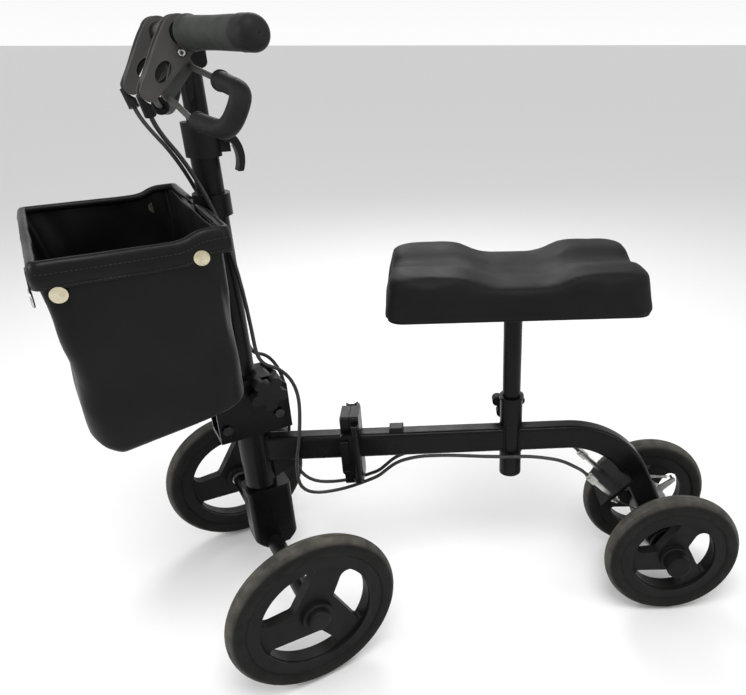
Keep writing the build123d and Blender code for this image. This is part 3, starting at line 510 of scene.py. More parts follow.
def makeBeadTree():
    # blobs along a curve: a weld bead when they overlap, a row of stitches when they are long
    t = NodeTree("beadsAlongLine", [("Spacing", "Float", 0.002), ("Width", "Float", 0.002),
                                    ("Length", "Float", 0.002), ("Flat", "Float", 1.0),
                                    ("Jitter", "Float", 0.15), ("Seed", "Int", 3),
                                    ("Material", "Material", None)])
    src = t.source.outputs
    spots = t.add("GeometryNodeCurveToPoints", {"Curve": src["Geometry"], "Length": src["Spacing"]}, mode="LENGTH")
    blob = t.add("GeometryNodeMeshUVSphere", {"Segments": 10, "Rings": 6, "Radius": 0.5})
    size = t.add("ShaderNodeCombineXYZ", {"X": src["Width"], "Y": src["Flat"], "Z": src["Length"]})
    low = t.add("ShaderNodeMath", {0: 1.0, 1: src["Jitter"]}, operation="SUBTRACT")
    high = t.add("ShaderNodeMath", {0: 1.0, 1: src["Jitter"]}, operation="ADD")
    chance = t.add("FunctionNodeRandomValue", {"Seed": src["Seed"]}, data_type="FLOAT")
    t.tree.links.new(low.outputs[0], chance.inputs[2])
    t.tree.links.new(high.outputs[0], chance.inputs[3])
    scaled = t.add("ShaderNodeVectorMath", {0: size.outputs[0]}, operation="SCALE")
    t.tree.links.new(chance.outputs[1], scaled.inputs["Scale"])
    placed = t.add("GeometryNodeInstanceOnPoints", {
        "Points": spots.outputs["Points"], "Instance": blob.outputs["Mesh"],
        "Rotation": spots.outputs["Rotation"], "Scale": scaled.outputs[0]})
    real = t.add("GeometryNodeRealizeInstances", {"Geometry": placed.outputs["Instances"]})
    smooth = t.add("GeometryNodeSetShadeSmooth", {"Geometry": real.outputs["Geometry"]})
    dressed = t.add("GeometryNodeSetMaterial", {"Geometry": smooth.outputs[0], "Material": src["Material"]})
    t.tree.links.new(dressed.outputs["Geometry"], t.end.inputs["Geometry"])
    return t


beadTree = makeBeadTree()


def beadRow(name, points, spacing, width, length, flat, material, body, cyclic=False, jitter=0.12, seed=3):
    line = pathCurve(name + "Line", points, cyclic=cyclic, fine=8)
    mesh = beadTree.run(line, name, Spacing=spacing * mm, Width=width * mm, Length=length * mm,
                        Flat=flat * mm, Jitter=jitter, Seed=seed, Material=material)
    return newPiece(name, mesh, material, body)


def ringPoints(centre, axis, radius, count=24):
    axis = Vector(axis).normalized()
    side = axis.orthogonal().normalized()
    up = axis.cross(side)
    turns = [2 * math.pi * k / count for k in range(count)]
    return [centre + (side * math.cos(a) + up * math.sin(a)) * radius * mm for a in turns]


# materials on the cad pieces that stay
wearsPaint = ["rear_beam", "front_beam", "post_sleeve", "rear_axle_tube", "head_tube", "hinge_plate_rear",
              "hinge_plate_front", "beam_rest_block", "fork_crown", "crossbeam", "fold_bracket", "column_foot",
              "column_tube", "stem_tube", "handlebar", "pad_post", "bag_bracket", "beam_latch", "bag_frame"]
wearsPlastic = ["rim_front_left", "rim_front_right", "rim_rear_left", "rim_rear_right", "front_hub_caps",
                "fold_knob", "post_knob", "height_lever", "height_collar", "cable_ferrules"]
wearsZinc = ["front_axles", "rear_axle", "hinge_pin", "head_bearings", "front_bearings",
             "rear_bearings", "brake_plates", "brake_arm_left", "brake_arm_right", "cable_adjusters", "steerer"]


def dressNodes():
    for names, material in ((wearsPaint, paint), (wearsPlastic, plastic), (wearsZinc, zinc),
                            (["bag_snaps"], brass), (["rear_hub_caps"], capPlastic), (["fold_bolts"], darkSteel),
                            (["rear_cables"], sheath), (["loop_lever_left", "loop_lever_right"], leverCoat)):
        for name in names:
            nodes[name].data.materials.clear()
            nodes[name].data.materials.append(material)


dressNodes()
print("frame painted")


# wheels
tyreSet = {"wide": 32.0, "deep": 23.0, "seat": 13.0, "grooves": (-8.0, 0.0, 8.0), "grooveWide": 1.1,
           "grooveDeep": 1.0, "crownDrop": 9.0}


def tyreProfile(radius):
    # across the tyre in mm: bead, wall, crowned tread with shallow grooves, and back
    half, seat = tyreSet["wide"] / 2, tyreSet["seat"]
    inner = radius - tyreSet["deep"]
    def crown(y):
        return radius - tyreSet["crownDrop"] * (abs(y) / half) ** 2.2
    points = [(-seat, inner), (-half + 0.6, inner + 3.0), (-half, inner + 6.0), (-half, radius - 12.0)]
    spots = []
    for step in range(27):
        spots.append((-half + 0.35 + (2 * half - 0.7) * step / 26, 0.0))
    for groove in tyreSet["grooves"]:
        w = tyreSet["grooveWide"]
        spots += [(groove - w, 0.0), (groove - w * 0.6, 1.0), (groove + w * 0.6, 1.0), (groove + w, 0.0)]
        spots = [s for s in spots if s[1] or abs(s[0] - groove) >= w]
    for y, sunk in sorted(spots):
        points.append((y, crown(y) - sunk * tyreSet["grooveDeep"]))
    points += [(half, radius - 12.0), (half, inner + 6.0), (half - 0.6, inner + 3.0), (seat, inner)]
    return points


def makeTyres():
    for end in ("front", "rear"):
        for side in ("left", "right"):
            node = f"tyre_{end}_{side}"
            joint = joints[f"wheel_{end}_{side}_spin"]
            centre, axis = Vector(joint["pos_m"]), Vector(joint["axis"])
            low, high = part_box(node)
            radius = (high.z - low.z) / 2 / mm
            turn = math.atan2(-axis.x, axis.y)
            rubber = tyreRubber(end + side, centre, turn, radius * mm)
            mesh = lathe(f"tyre_{end}_{side}_ring", tyreProfile(radius), centre, axis, 96)
            tyre = newPiece(mesh.name, mesh, rubber, f"wheel_{end}_{side}")
            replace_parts(tyre, node)


makeTyres()
print("tyres made")


# brake cables: smooth tubes through the routed points
barSet = {"forward": 15.0, "high": 798.0, "housingY": 56.0, "housingLong": 76.0, "slope": 54.0}
cableSet = {"radius": 2.5, "reach": 38.0, "inward": 8.0, "dropAt": 90.0, "ferrule": 16.0,
            "leverRoute": ((26.0, 30.0, 668.0), (4.0, 27.0, 610.0), (-14.0, 22.0, 520.0), (-17.0, 20.0, 430.0))}
loopRoutes = {                                                # past the head: top, middle and low length of each
    "left": ([turned(-17.0, 20.0, 430.0), turned(-17.8, 19.4, 405.0), turned(-46, 29, 393), turned(-53, 36, 378)],
             [turned(-53, 36, 378), turned(-60, 42, 362), at(532, 20, 312), at(538, 22, 281)],
             [at(538, 22, 281), at(546, 24, 250), at(543, 17, 196), at(484, 10, 195), at(449, 8, 208.5)]),
    "right": ([turned(-17.0, -20.0, 430.0), turned(-17.8, -19.4, 405.0), turned(-44, -29, 393), turned(-52, -30, 376)],
              [turned(-52, -30, 376), turned(-60, -31, 360), turned(-63, -29, 312), at(563, -43.5, 277)],
              [at(563, -43.5, 277), at(566, -36, 245), at(546, -18, 194), at(484, -10, 195), at(449, -8, 208.5)])}


def outlet(side):
    # where a cable leaves its housing, and the next spot on its way
    slope, long = math.radians(barSet["slope"]), barSet["housingLong"]
    start = Vector((barSet["forward"] + long * math.cos(slope), side * barSet["housingY"],
                    barSet["high"] - long * math.sin(slope)))
    towards = Vector((barSet["forward"] + cableSet["reach"], side * (barSet["housingY"] - cableSet["inward"]),
                      barSet["high"] - cableSet["dropAt"]))
    return start, towards


def cablePiece(name, points):
    mesh = tubeMesh(name, points, cableSet["radius"] * mm, fine=5, sides=3)
    piece = newPiece(name, mesh, sheath, None)
    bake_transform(piece)
    return piece


def makeCables():
    for side, word in ((1, "left"), (-1, "right")):
        start, towards = outlet(side)
        begin = start + (towards - start).normalized() * cableSet["ferrule"]
        route = [turned(*begin), turned(*towards)]
        route += [turned(x, side * y, z) for x, y, z in cableSet["leverRoute"]]
        top = cablePiece(f"lever_cable_{word}", route)
        if side > 0:
            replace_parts(top, "lever_cables")
    made = []
    for word, (upper, centre, lower) in loopRoutes.items():
        made.append(cablePiece(f"cable_loop_{word}_top", upper))
        made.append(cablePiece(f"cable_loop_{word}_middle", centre))
        made.append(cablePiece(f"cable_loop_{word}_low", lower))
    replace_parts(made[0], "cable_loops")


makeCables()
print("cables made")


# grips and end caps
gripSet = {"start": 14.0, "end": 110.0, "capEnd": 137.0, "radius": 15.5, "bore": 11.2, "capBend": 11.0,
           "straight": 70.0, "sweep": 16.0}


def alongBar(side, distance):
    a = math.radians(gripSet["sweep"])
    return turned(barSet["forward"] - distance * math.sin(a),
                  side * (gripSet["straight"] + distance * math.cos(a)), barSet["high"])


def makeGrips():
    sleeves, caps = [], []
    r, bore = gripSet["radius"], gripSet["bore"]
    for side in (1, -1):
        begin = alongBar(side, gripSet["start"])
        way = (alongBar(side, gripSet["end"]) - begin).normalized()
        long = gripSet["end"] - gripSet["start"]
        profile = [(0.0, bore), (0.0, r - 0.2), (0.6, r + 0.9), (2.0, r + 1.6), (4.0, r + 1.6), (5.4, r + 0.6),
                   (6.5, r)]
        steps = 40
        for k in range(steps + 1):                            # a barely waisted sleeve
            s = 6.5 + (long - 13.0) * k / steps
            profile.append((s, r - 0.45 * math.sin(math.pi * k / steps) ** 2))
        profile += [(long - 2.4, r), (long - 0.3, r - 0.5), (long - 0.1, bore)]
        sleeves.append(lathe("sleeve", profile, begin, way, 56))
        capStart = alongBar(side, gripSet["end"])
        tall, bend = gripSet["capEnd"] - gripSet["end"], gripSet["capBend"]
        dome = [(0.1, bore), (0.1, r - 0.4), (0.7, r + 0.35), (2.0, r + 0.6)]
        for k in range(13):
            a = math.pi / 2 * k / 12
            dome.append((tall - bend + bend * math.sin(a), (r + 0.6) - bend + bend * math.cos(a)))
        dome += [(tall - 0.2, 2.0), (tall - 0.2, 0.4), (25.0, 0.4), (25.0, bore)]
        caps.append(lathe("cap", dome, capStart, way, 56))
    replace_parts(newPiece("grip_sleeves", joined("grip_sleeves", sleeves), gripSkin, "stem"), "grips")
    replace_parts(newPiece("grip_end_caps", joined("grip_end_caps", caps), darkRubber, "stem"), "grip_caps")


makeGrips()
print("grips made")


# brake lever housings
housingSet = {"wide": 24.0, "skin": 2.4, "ring": 17.5, "eye": (16.0, -7.9), "oval": (42, -1.5), "screws": (-5.5, 5.5)}


def outlineCurve(name, rings, thick, bevel, place, xAxis, yAxis):
    # a flat outline with holes, given its thickness and rounded edges, then set in its plane
    curve = bpy.data.curves.new(name, "CURVE")
    curve.dimensions = "2D"
    curve.fill_mode = "BOTH"
    curve.extrude = (thick / 2 - bevel) * mm
    curve.bevel_depth = bevel * mm
    curve.bevel_resolution = 3
    curve.offset = -bevel * mm
    for ring in rings:
        spline = curve.splines.new("POLY")
        spline.points.add(len(ring) - 1)
        for point, (x, y) in zip(spline.points, ring):
            point.co = (x * mm, y * mm, 0, 1)
        spline.use_cyclic_u = True
    mesh = asMesh(placed(name, curve), name)
    normal = xAxis.cross(yAxis)
    spot = Matrix((xAxis, yAxis, normal)).transposed().to_4x4()
    spot.translation = place
    mesh.transform(spot)
    return mesh


def roundRing(x, y, radius, stretch=1.0):
    return [(x + u, y + v) for u, v in roundProfile(radius * stretch, radius, 40)]


def housingOutline(shrink=0.0):
    # pear shape: round at the bar, tapering to a blunt rounded end
    points = []
    ring, end = housingSet["ring"] - shrink, barSet["housingLong"] - shrink
    for k in range(25):
        a = math.radians(78 + (282 - 78) * k / 24)
        points.append((ring * math.cos(a), ring * math.sin(a)))
    for k in range(1, 10):                                    # lower edge
        t = k / 10
        points.append((4 + (end - 12) * t, -(ring - 0.4) + (ring - 9.0) * smoothStep(t) * 0.95))
    for k in range(13):                                       # blunt end
        a = math.radians(-80 + 160 * k / 12)
        points.append((end - 8 + 8 * math.cos(a), 1.0 + (8.6 - shrink) * math.sin(a)))
    for k in range(1, 10):                                    # upper edge
        t = 1 - k / 10
        points.append((4 + (end - 12) * t, (ring - 0.4) - (ring - 10.0) * smoothStep(t) * 0.9))
    return points


def makeHousings():
    slope = math.radians(barSet["slope"])
    meshes, shadeFills, pins = [], [], []
    for side in (1, -1):
        centre = turned(barSet["forward"], side * barSet["housingY"], barSet["high"])
        xAxis = (turned(math.cos(slope), 0, -math.sin(slope)) - turned(0, 0, 0)).normalized()
        yAxis = (turned(-math.sin(slope), 0, -math.cos(slope)) - turned(0, 0, 0)).normalized() * -1
        out = Vector(barsAxis)
        if xAxis.cross(yAxis).dot(out) < 0:
            out = -out
        half = housingSet["wide"] / 2
        clamp = roundRing(0, 0, 10.9)
        for sign in (1, -1):                                  # two cheeks with an oval window and a pivot eye
            place = centre + out * sign * (half - housingSet["skin"] / 2) * mm
            oval = roundRing(*housingSet["oval"], 6.6, 1.75)
            eye = roundRing(*housingSet["eye"], 4.3)
            meshes.append(outlineCurve("cheek", [housingOutline(), clamp, oval, eye], housingSet["skin"], 0.7,
                                       place, xAxis, yAxis))
            rim = outlineCurve("ovalRim", [roundRing(*housingSet["oval"], 7.8, 1.62), oval], 1.0, 0.45,
                               place + out * sign * 1.1 * mm, xAxis, yAxis)
            eyeRim = outlineCurve("eyeRim", [roundRing(*housingSet["eye"], 6.0), eye], 1.6, 0.6,
                                  place + out * sign * 1.2 * mm, xAxis, yAxis)
            meshes += [rim, eyeRim]
            head = centre + (xAxis * housingSet["eye"][0] + yAxis * housingSet["eye"][1]) * mm
            profile = [(half - 2.2, 0.01), (half - 2.2, 3.7), (half + 0.6, 3.7), (half + 1.4, 3.1), (half + 1.4, 2.0),
                       (half + 0.5, 1.7), (half + 0.5, 0.01)]
            pins.append(lathe("pivotHead", profile, head, out * sign, 28))
        # recessed core between the cheeks in plain black plastic, darker than the shells: painted shade standing in
        # for the shadowed hollow of the housing
        shadeFill = housingOutline(1.6)
        shadeFill = [(x, max(y, -1.0) if 9 < x < 71 else y) for x, y in shadeFill]   # the slot that the lever plate moves in
        shadeFills.append(outlineCurve("shadeFill", [shadeFill, roundRing(0, 0, 11.0)], housingSet["wide"] - 2 * housingSet["skin"],
                                  0.4, centre, xAxis, yAxis))
        boss = centre - xAxis * 15.0 * mm                     # clamp screws behind the ring
        for offset in housingSet["screws"]:
            profile = [(-4.0, 0.01), (-4.0, 3.4), (2.4, 3.4), (3.2, 2.8), (3.2, 1.6), (1.8, 1.4), (1.8, 0.01)]
            pins.append(lathe("clampScrew", profile, boss + out * offset * mm, -xAxis, 20))
    body = newPiece("brake_housing_shells", joined("brake_housing_shells", meshes), housingPlastic, "stem")
    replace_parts(body, "brake_housings")
    # the black plastic of the core is painted shade for the hollow between the cheeks
    newPiece("brake_housing_shade_fills", joined("brake_housing_shade_fills", shadeFills), plastic, "stem")
    newPiece("housing_pivots", joined("housing_pivots", pins), zinc, "stem")


makeHousings()
print("housings made")


# loop lever rubbers
loopSet = {"top": (10.9, 56.0, 767.9), "tip": (-14.0, 158.0, 748.0), "base": (4.0, 150.0, 712.0),
           "knee": (24.0, 92.0, 719.0), "bandTop": 44.0, "bandLow": 52.0, "wide": 10.6, "thick": 9.4, "lip": 1.1,
           "bore": 3.3}


def makeLoopRubbers():
    # thick band round the outer end of each loop, wider across the fingers than it is thick
    for side, word in ((1, "left"), (-1, "right")):
        top, tip, base, knee = (Vector(loopSet[key]) for key in ("top", "tip", "base", "knee"))
        start = tip + (top - tip).normalized() * loopSet["bandTop"]
        end = base + (knee - base).normalized() * loopSet["bandLow"]
        line = [start, start.lerp(tip, 0.45), tip.lerp(start, 0.12), tip.lerp(base, 0.28), base.lerp(tip, 0.25),
                base.lerp(end, 0.15), end.lerp(base, 0.45), end]
        spots = lineSpots([turned(p.x, side * p.y, p.z) for p in line], fine=7)
        wide, thick, lip, bore = (loopSet[key] for key in ("wide", "thick", "lip", "bore"))
        flat = (spots[len(spots) // 4] - spots[0]).cross(spots[-1] - spots[0]).normalized()
        band = sweepAlong("band", spots, roundProfile(thick, wide, 20), up=flat)
        parts = [band]
        for near, far in ((0, 1), (-1, -2)):                  # rolled lips at the sleeve's mouths
            inward = (spots[far] - spots[near]).normalized()
            profile = [(-0.8, bore), (-0.8, thick), (0.2, thick + lip), (2.2, thick + lip), (3.4, thick - 0.4),
                       (3.4, bore)]
            parts.append(lathe("lip", profile, spots[near], inward, 32))
        rubber = newPiece(f"loop_band_{word}", joined(f"loop_band_{word}", parts), darkRubber, f"lever_{word}")
        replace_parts(rubber, f"loop_rubber_{word}")


makeLoopRubbers()
print("loop bands made")


# bag: a limp open box of coated cloth on a wire rim
bagSet = {"back": 23.5, "ahead": 196.0, "middle": 108.0, "half": 136.0, "halfLow": 136.5, "top": 606.0, "deep": 216.0,
          "cornerTop": 10.0, "cornerLow": 30.0, "thick": 1.6,
          "front": ((610.0, 199.5), (592.0, 198.0), (540.0, 192.0), (491.0, 188.5), (426.0, 190.5), (391.0, 189.0)),
          "under": ((20.0, 413.0), (84.0, 401.0), (164.0, 388.0), (180.0, 394.0), (191.0, 406.0)),
          "creaseDeep": 3.2, "creaseWide": 34.0, "waveDeep": 7.0, "dragDeep": 4.0, "drawnIn": 2.0,
          "rimFront": 604.0, "rimBack": 613.0, "roundFront": 13.0, "roundBack": 8.0, "edge": (30, 22, 8), "rows": 30}


def roundedPlan(back, front, half, corner, across, deep, arc):
    # rounded rectangle of (x, y) with the same number of points whatever its size
    centres = ((front - corner, half - corner, 0), (back + corner, half - corner, 90),
               (back + corner, corner - half, 180), (front - corner, corner - half, 270))
    plan = []
    for k, (x, y, start) in enumerate(centres):
        for j in range(arc + 1):
            a = math.radians(start + 90 * j / arc)
            plan.append((x + corner * math.cos(a), y + corner * math.sin(a)))
        nx, ny, turn = centres[(k + 1) % 4]
        a = math.radians(turn)
        first, last = plan[-1], (nx + corner * math.cos(a), ny + corner * math.sin(a))
        steps = deep if k % 2 == 0 else across
        for j in range(1, steps):
            plan.append((first[0] + (last[0] - first[0]) * j / steps, first[1] + (last[1] - first[1]) * j / steps))
    return plan


def along(pairs, value):
    # straight interpolation in a short list of pairs, either way up
    pairs = sorted(pairs)
    for (a, low), (b, high) in zip(pairs, pairs[1:]):
        if value <= b:
            return low + (high - low) * max(0.0, min(1.0, (value - a) / (b - a)))
    return pairs[-1][1]


def bagFold(x, y, down):
    # creases fall from the rim beside the corners and fade out below, softer waves everywhere
    fromEdge = min(x - bagSet["back"], bagSet["ahead"] - x)
    fromSide = 133 - abs(y)
    corner = math.exp(-(fromEdge ** 2 + fromSide ** 2) / bagSet["creaseWide"] ** 2) * (1 - smoothStep(down * 1.3))
    crease = math.sin(0.22 * (x + 0.9 * abs(y)) + 9.0 * down)
    wave = noise.noise(Vector((x * 0.013, y * 0.013, down * 2.4)))
    drag = noise.noise(Vector((x * 0.02 + down * 2.0, y * 0.02 - down * 2.0, 7.0)))
    slack = math.sin(math.pi * min(1.0, 0.06 + down * 0.96)) ** 0.7
    return slack * (bagSet["creaseDeep"] * crease * corner + bagSet["waveDeep"] * wave + bagSet["dragDeep"] * drag
                    - bagSet["drawnIn"])


def bagRow(down, inset, drop):
    # one row of the wall: down runs from 0 at the rim to 1 where the floor's rounding starts
    half = bagSet["half"] + (bagSet["halfLow"] - bagSet["half"]) * down
    corner = bagSet["cornerTop"] + (bagSet["cornerLow"] - bagSet["cornerTop"]) * down
    level = bagSet["top"] - bagSet["deep"] * down
    plan = roundedPlan(bagSet["back"], along(bagSet["front"], level), half, corner, *bagSet["edge"])
    middleX = (plan[0][0] + bagSet["back"]) / 2
    row = []
    for k, (x, y) in enumerate(plan):
        (ax, ay), (bx, by) = plan[k - 1], plan[(k + 1) % len(plan)]
        out = Vector((by - ay, ax - bx)).normalized()
        if out.dot(Vector((x - middleX, y))) < 0:
            out = -out
        lean = smoothStep((x - 60) / 120)
        rounding = bagSet["roundBack"] + (bagSet["roundFront"] - bagSet["roundBack"]) * lean
        under = along(bagSet["under"], x)
        rim = bagSet["rimFront"] + (bagSet["rimBack"] - bagSet["rimFront"]) * smoothStep((66 - x) / 30)
        z = rim + (under + rounding - rim) * down - rounding * drop
        move = bagFold(x, y, down) if down < 1 else bagFold(x, y, 1.0) * (1 - drop)
        move = min(move, 1.5) - rounding * inset
        if x < 40 and out.x < -0.5:
            move = min(move, 0.0)
        row.append((x + out.x * move, y + out.y * move, z))
    return row


def makeBag():
    rows = [bagRow(k / bagSet["rows"], 0.0, 0.0) for k in range(bagSet["rows"] + 1)]
    for k in range(1, 8):                                     # rounded lower edge
        a = math.pi / 2 * k / 7
        rows.append(bagRow(1.0, 1 - math.cos(a), math.sin(a)))
    last, middleX = rows[-1], bagSet["middle"]
    for share in (0.86, 0.68, 0.48, 0.27, 0.1):               # floor, a little wavy
        row = []
        for x, y, z in last:
            px, py = middleX + (x - middleX) * share, y * share
            row.append((px, py, along(bagSet["under"], px) + 1.6 * noise.noise(Vector((px * 0.02, py * 0.02, 5)))))
        rows.append(row)
    count = len(rows[0])
    points = [turned(*place) for row in rows for place in row]
    points.append(turned(middleX, 0, along(bagSet["under"], middleX)))
    faces = []
    for k in range(len(rows) - 1):
        for j in range(count):
            a, b = k * count + j, k * count + (j + 1) % count
            faces.append((a, a + count, b + count, b))
    centre, base = len(points) - 1, (len(rows) - 1) * count
    for j in range(count):
        faces.append((base + j, centre, base + (j + 1) % count))
    shell = meshFrom("bag_body", points, faces)
    work = bmesh.new()
    work.from_mesh(shell)
    bmesh.ops.recalc_face_normals(work, faces=work.faces)
    low = min(work.faces, key=lambda face: face.calc_center_median().z)
    if low.normal.z > 0:
        bmesh.ops.reverse_faces(work, faces=work.faces)
    work.to_mesh(shell)
    work.free()
    holder = placed("bag_body", shell)
    wall = holder.modifiers.new("wall", "SOLIDIFY")
    wall.thickness = bagSet["thick"] * mm
    wall.offset = -1.0
    finer = holder.modifiers.new("finer", "SUBSURF")
    finer.levels = finer.render_levels = 1
    bag = newPiece("bag_body", asMesh(holder, "bag_body"), cloth, "column")
    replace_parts(bag, "bag")


trimSet = {"wobble": 1.6, "stitchRows": ((-8.0, 6.2), (-20.5, 6.8)), "stitchGap": 4.2, "stitchLong": 3.0,
           "stitchWide": 0.8,
           "hem": [(-3.7, -2.0), (-3.9, 0.8), (-2.8, 3.0), (-0.4, 3.9), (2.4, 3.5), (4.4, 1.6), (5.6, -2.0),
                   (5.9, -7.0), (6.3, -12.0), (6.4, -23.0), (5.7, -23.6), (5.1, -22.6), (5.0, -9.0), (2.6, -5.6),
                   (-0.8, -5.0), (-2.8, -4.0)],
           "rim": [(18.8, 27.0, 616.0), (18.8, 122.0, 616.0), (18.8, 131.5, 616.0), (30.0, 131.5, 616.0),
                   (46.0, 131.5, 615.0), (62.0, 131.5, 606.5), (90.0, 131.5, 606.0), (180.0, 131.5, 606.0),
                   (194.5, 131.5, 606.0), (194.5, 117.0, 606.0), (194.5, 0.0, 606.0)]}


def rimLine():
    # the wire rim's own route, one half mirrored
    half = trimSet["rim"]
    return [turned(x, y, z) for x, y, z in half + [(x, -y, z) for x, y, z in reversed(half[:-1])]]


def makeBagTrim():
    # hem sleeve over the wire, with two rows of stitches in its flap
    spots = lineSpots(rimLine(), fine=9)
    if (spots[1] - spots[0]).cross(Vector((0, 0, 1))).dot(turned(18.8, 60, 0) - turned(100, 60, 0)) < 0:
        spots.reverse()
    mesh = sweepAlong("bag_hem", spots, trimSet["hem"], wobble=trimSet["wobble"])
    newPiece("bag_hem", mesh, cloth, "column")
    wide = trimSet["stitchWide"]
    for drop, out in trimSet["stitchRows"]:
        line = []
        for k, spot in enumerate(spots[1:-1], 1):
            way = (spots[k + 1] - spots[k - 1]).normalized()
            side = way.cross(Vector((0, 0, 1))).normalized()
            place = spot + side * out * mm + Vector((0, 0, drop * mm))
            line.append(place + side * noise.noise(place * 38) * trimSet["wobble"] * mm)
        beadRow(f"hem_stitches_{int(-drop)}", line[::3], trimSet["stitchGap"], wide, trimSet["stitchLong"], wide,
                thread, "column", jitter=0.08)


def makeBagRing():
    # webbing tab with a steel ring at the rim's front corner
    ahead = (turned(1, 0, 0) - turned(0, 0, 0)).normalized()
    spots = [turned(200.6, 118, 600), turned(201.2, 118, 590), turned(201.8, 118, 579)]
    tab = sweepAlong("bag_tab", spots, [(-0.8, -8), (0.8, -8), (0.8, 8), (-0.8, 8)], up=barsAxis)
    newPiece("bag_tab", tab, cloth, "column", smooth=False)
    ring = tubeMesh("bag_ring", ringPoints(turned(202.4, 118, 572), ahead, 8.5, 16), 1.3 * mm, cyclic=True, fine=4)
    newPiece("bag_ring", ring, zinc, "column")


makeBag()
makeBagTrim()
makeBagRing()
print("bag made")


# knee pad: a moulded cushion blown up a little inside its skin
padSet = {"middle": 237.0, "long": 338.0, "wide": 191.0, "corner": 24.0, "low": 487.6, "high": 539.5, "flare": 7.0,
          "edge": 9.0, "scoopWide": 60.0, "scoopDeep": 15.0, "valleyWide": 34.0, "valleyDeep": 7.0,
          "voxel": 4.0, "pressure": 4.0, "cap": 2.6, "frames": 20}


def padOutline(inset, corner, across=22, deep=44, arc=8):
    half = padSet["long"] / 2 - inset
    return roundedPlan(-half, half, padSet["wide"] / 2 - inset, corner, across, deep, arc)


def padTop(x, y):
    # four soft bolsters: a scoop across the middle and a shallow valley along it
    s = padSet
    scoop = s["scoopDeep"] * math.exp(-(abs(x) / s["scoopWide"]) ** 4)
    valley = s["valleyDeep"] * math.exp(-(abs(y) / (s["valleyWide"] - 0.06 * abs(x))) ** 3)
    return s["high"] - max(scoop, valley) - 0.3 * min(scoop, valley)


def padMesh():
    s = padSet
    points, rings = [], []
    base = padOutline(2.5, s["corner"])
    for share in (0.0, 0.5, 0.96):                            # flat underside
        rings.append([(x * share, y * share, s["low"]) for x, y in base])
    rings.append([(x, y, s["low"] + 2.5) for x, y in base])
    steps = 7
    for k in range(steps + 1):                                # flared wall
        t = k / steps
        ring = padOutline(1.5 + s["flare"] * t, s["corner"])
        rings.append([(x, y, s["low"] + 5 + (padTop(x, y) - s["edge"] - s["low"] - 5) * t) for x, y in ring])
    for k in range(1, 9):                                     # rounded top edge
        a = math.pi / 2 * k / 8
        ring = padOutline(1.5 + s["flare"] + s["edge"] * (1 - math.cos(a)), s["corner"])
        rings.append([(x, y, padTop(x, y) - s["edge"] * (1 - math.sin(a))) for x, y in ring])
    last = rings[-1]
    for k in range(1, 16):
        share = 1 - k / 16
        rings.append([(x * share, y * share, padTop(x * share, y * share)) for x, y, z in last])
    rings.append([(0.0, 0.0, padTop(0, 0)) for x, y, z in last])
    for ring in rings:
        points += [at(s["middle"] + x, y, z) for x, y, z in ring]
    return meshFrom("pad_cushion", points, ringFaces(len(rings), len(base)), fixNormals=True)


def inflated(mesh):
    # voxel remesh, a short cloth run with pressure, a cap on how far a point moves, then one subdivision
    s = padSet
    holder = placed("pad_cushion", mesh)
    remesh = holder.modifiers.new("voxels", "REMESH")
    remesh.mode = "VOXEL"
    remesh.voxel_size = s["voxel"] * mm
    smooth = holder.modifiers.new("relax", "SMOOTH")
    smooth.iterations = 2
    body = asMesh(holder, "pad_cushion")
    start = [vertex.co.copy() for vertex in body.vertices]
    holder = placed("pad_cushion", body)
    clothRun = holder.modifiers.new("cloth", "CLOTH")
    clothRun.settings.use_pressure = True
    clothRun.settings.uniform_pressure_force = s["pressure"]
    clothRun.settings.effector_weights.gravity = 0.0
    clothRun.settings.quality = 5
    clothRun.settings.tension_stiffness = 30
    clothRun.point_cache.frame_start = 1
    clothRun.point_cache.frame_end = s["frames"]
    for step in range(1, s["frames"] + 1):
        bpy.context.scene.frame_set(step)
    body = asMesh(holder, "pad_cushion")
    bpy.context.scene.frame_set(1)
    floor = s["low"] * mm
    for vertex, first in zip(body.vertices, start):
        move = vertex.co - first
        if move.length > s["cap"] * mm:
            move = move.normalized() * s["cap"] * mm
        vertex.co = first + move
        vertex.co.z = max(vertex.co.z, floor)
        if first.z < floor + 0.0015:
            vertex.co.z = floor
    holder = placed("pad_cushion", body)
    finer = holder.modifiers.new("finer", "SUBSURF")
    finer.levels = finer.render_levels = 1
    return asMesh(holder, "pad_cushion")


def makePad():
    s = padSet
    cushion = newPiece("pad_cushion", inflated(padMesh()), skin, "pad")
    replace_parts(cushion, "knee_pad")
    board = padOutline(7.0, s["corner"] - 4)
    rows = []
    for inset, z in ((1.0, 486.9), (0.0, 487.3), (0.0, 488.4), (1.0, 489.0)):
        rows.append([at(s["middle"] + x * (1 - inset / 160), y * (1 - inset / 90), z) for x, y in board])
    count = len(board)
    points = [place for row in rows for place in row]
    faces = [tuple(range(count))[::-1], tuple(range(3 * count, 4 * count))] + ringFaces(4, count)
    newPiece("pad_base_board", meshFrom("pad_base_board", points, faces, fixNormals=True), plastic, "pad",
             smooth=False)
    staples = padOutline(17.0, s["corner"] - 8, 6, 12, 4)
    beadRow("pad_staples", [at(s["middle"] + x, y, 486.8) for x, y in staples], 24.0, 1.1, 9.0, 0.9, zinc, "pad",
            cyclic=True, jitter=0.03)


makePad()
print("knee pad made")


# brake return springs
springSet = {"coil": 2.3, "wire": 0.55, "turns": 20, "end": 5.0}


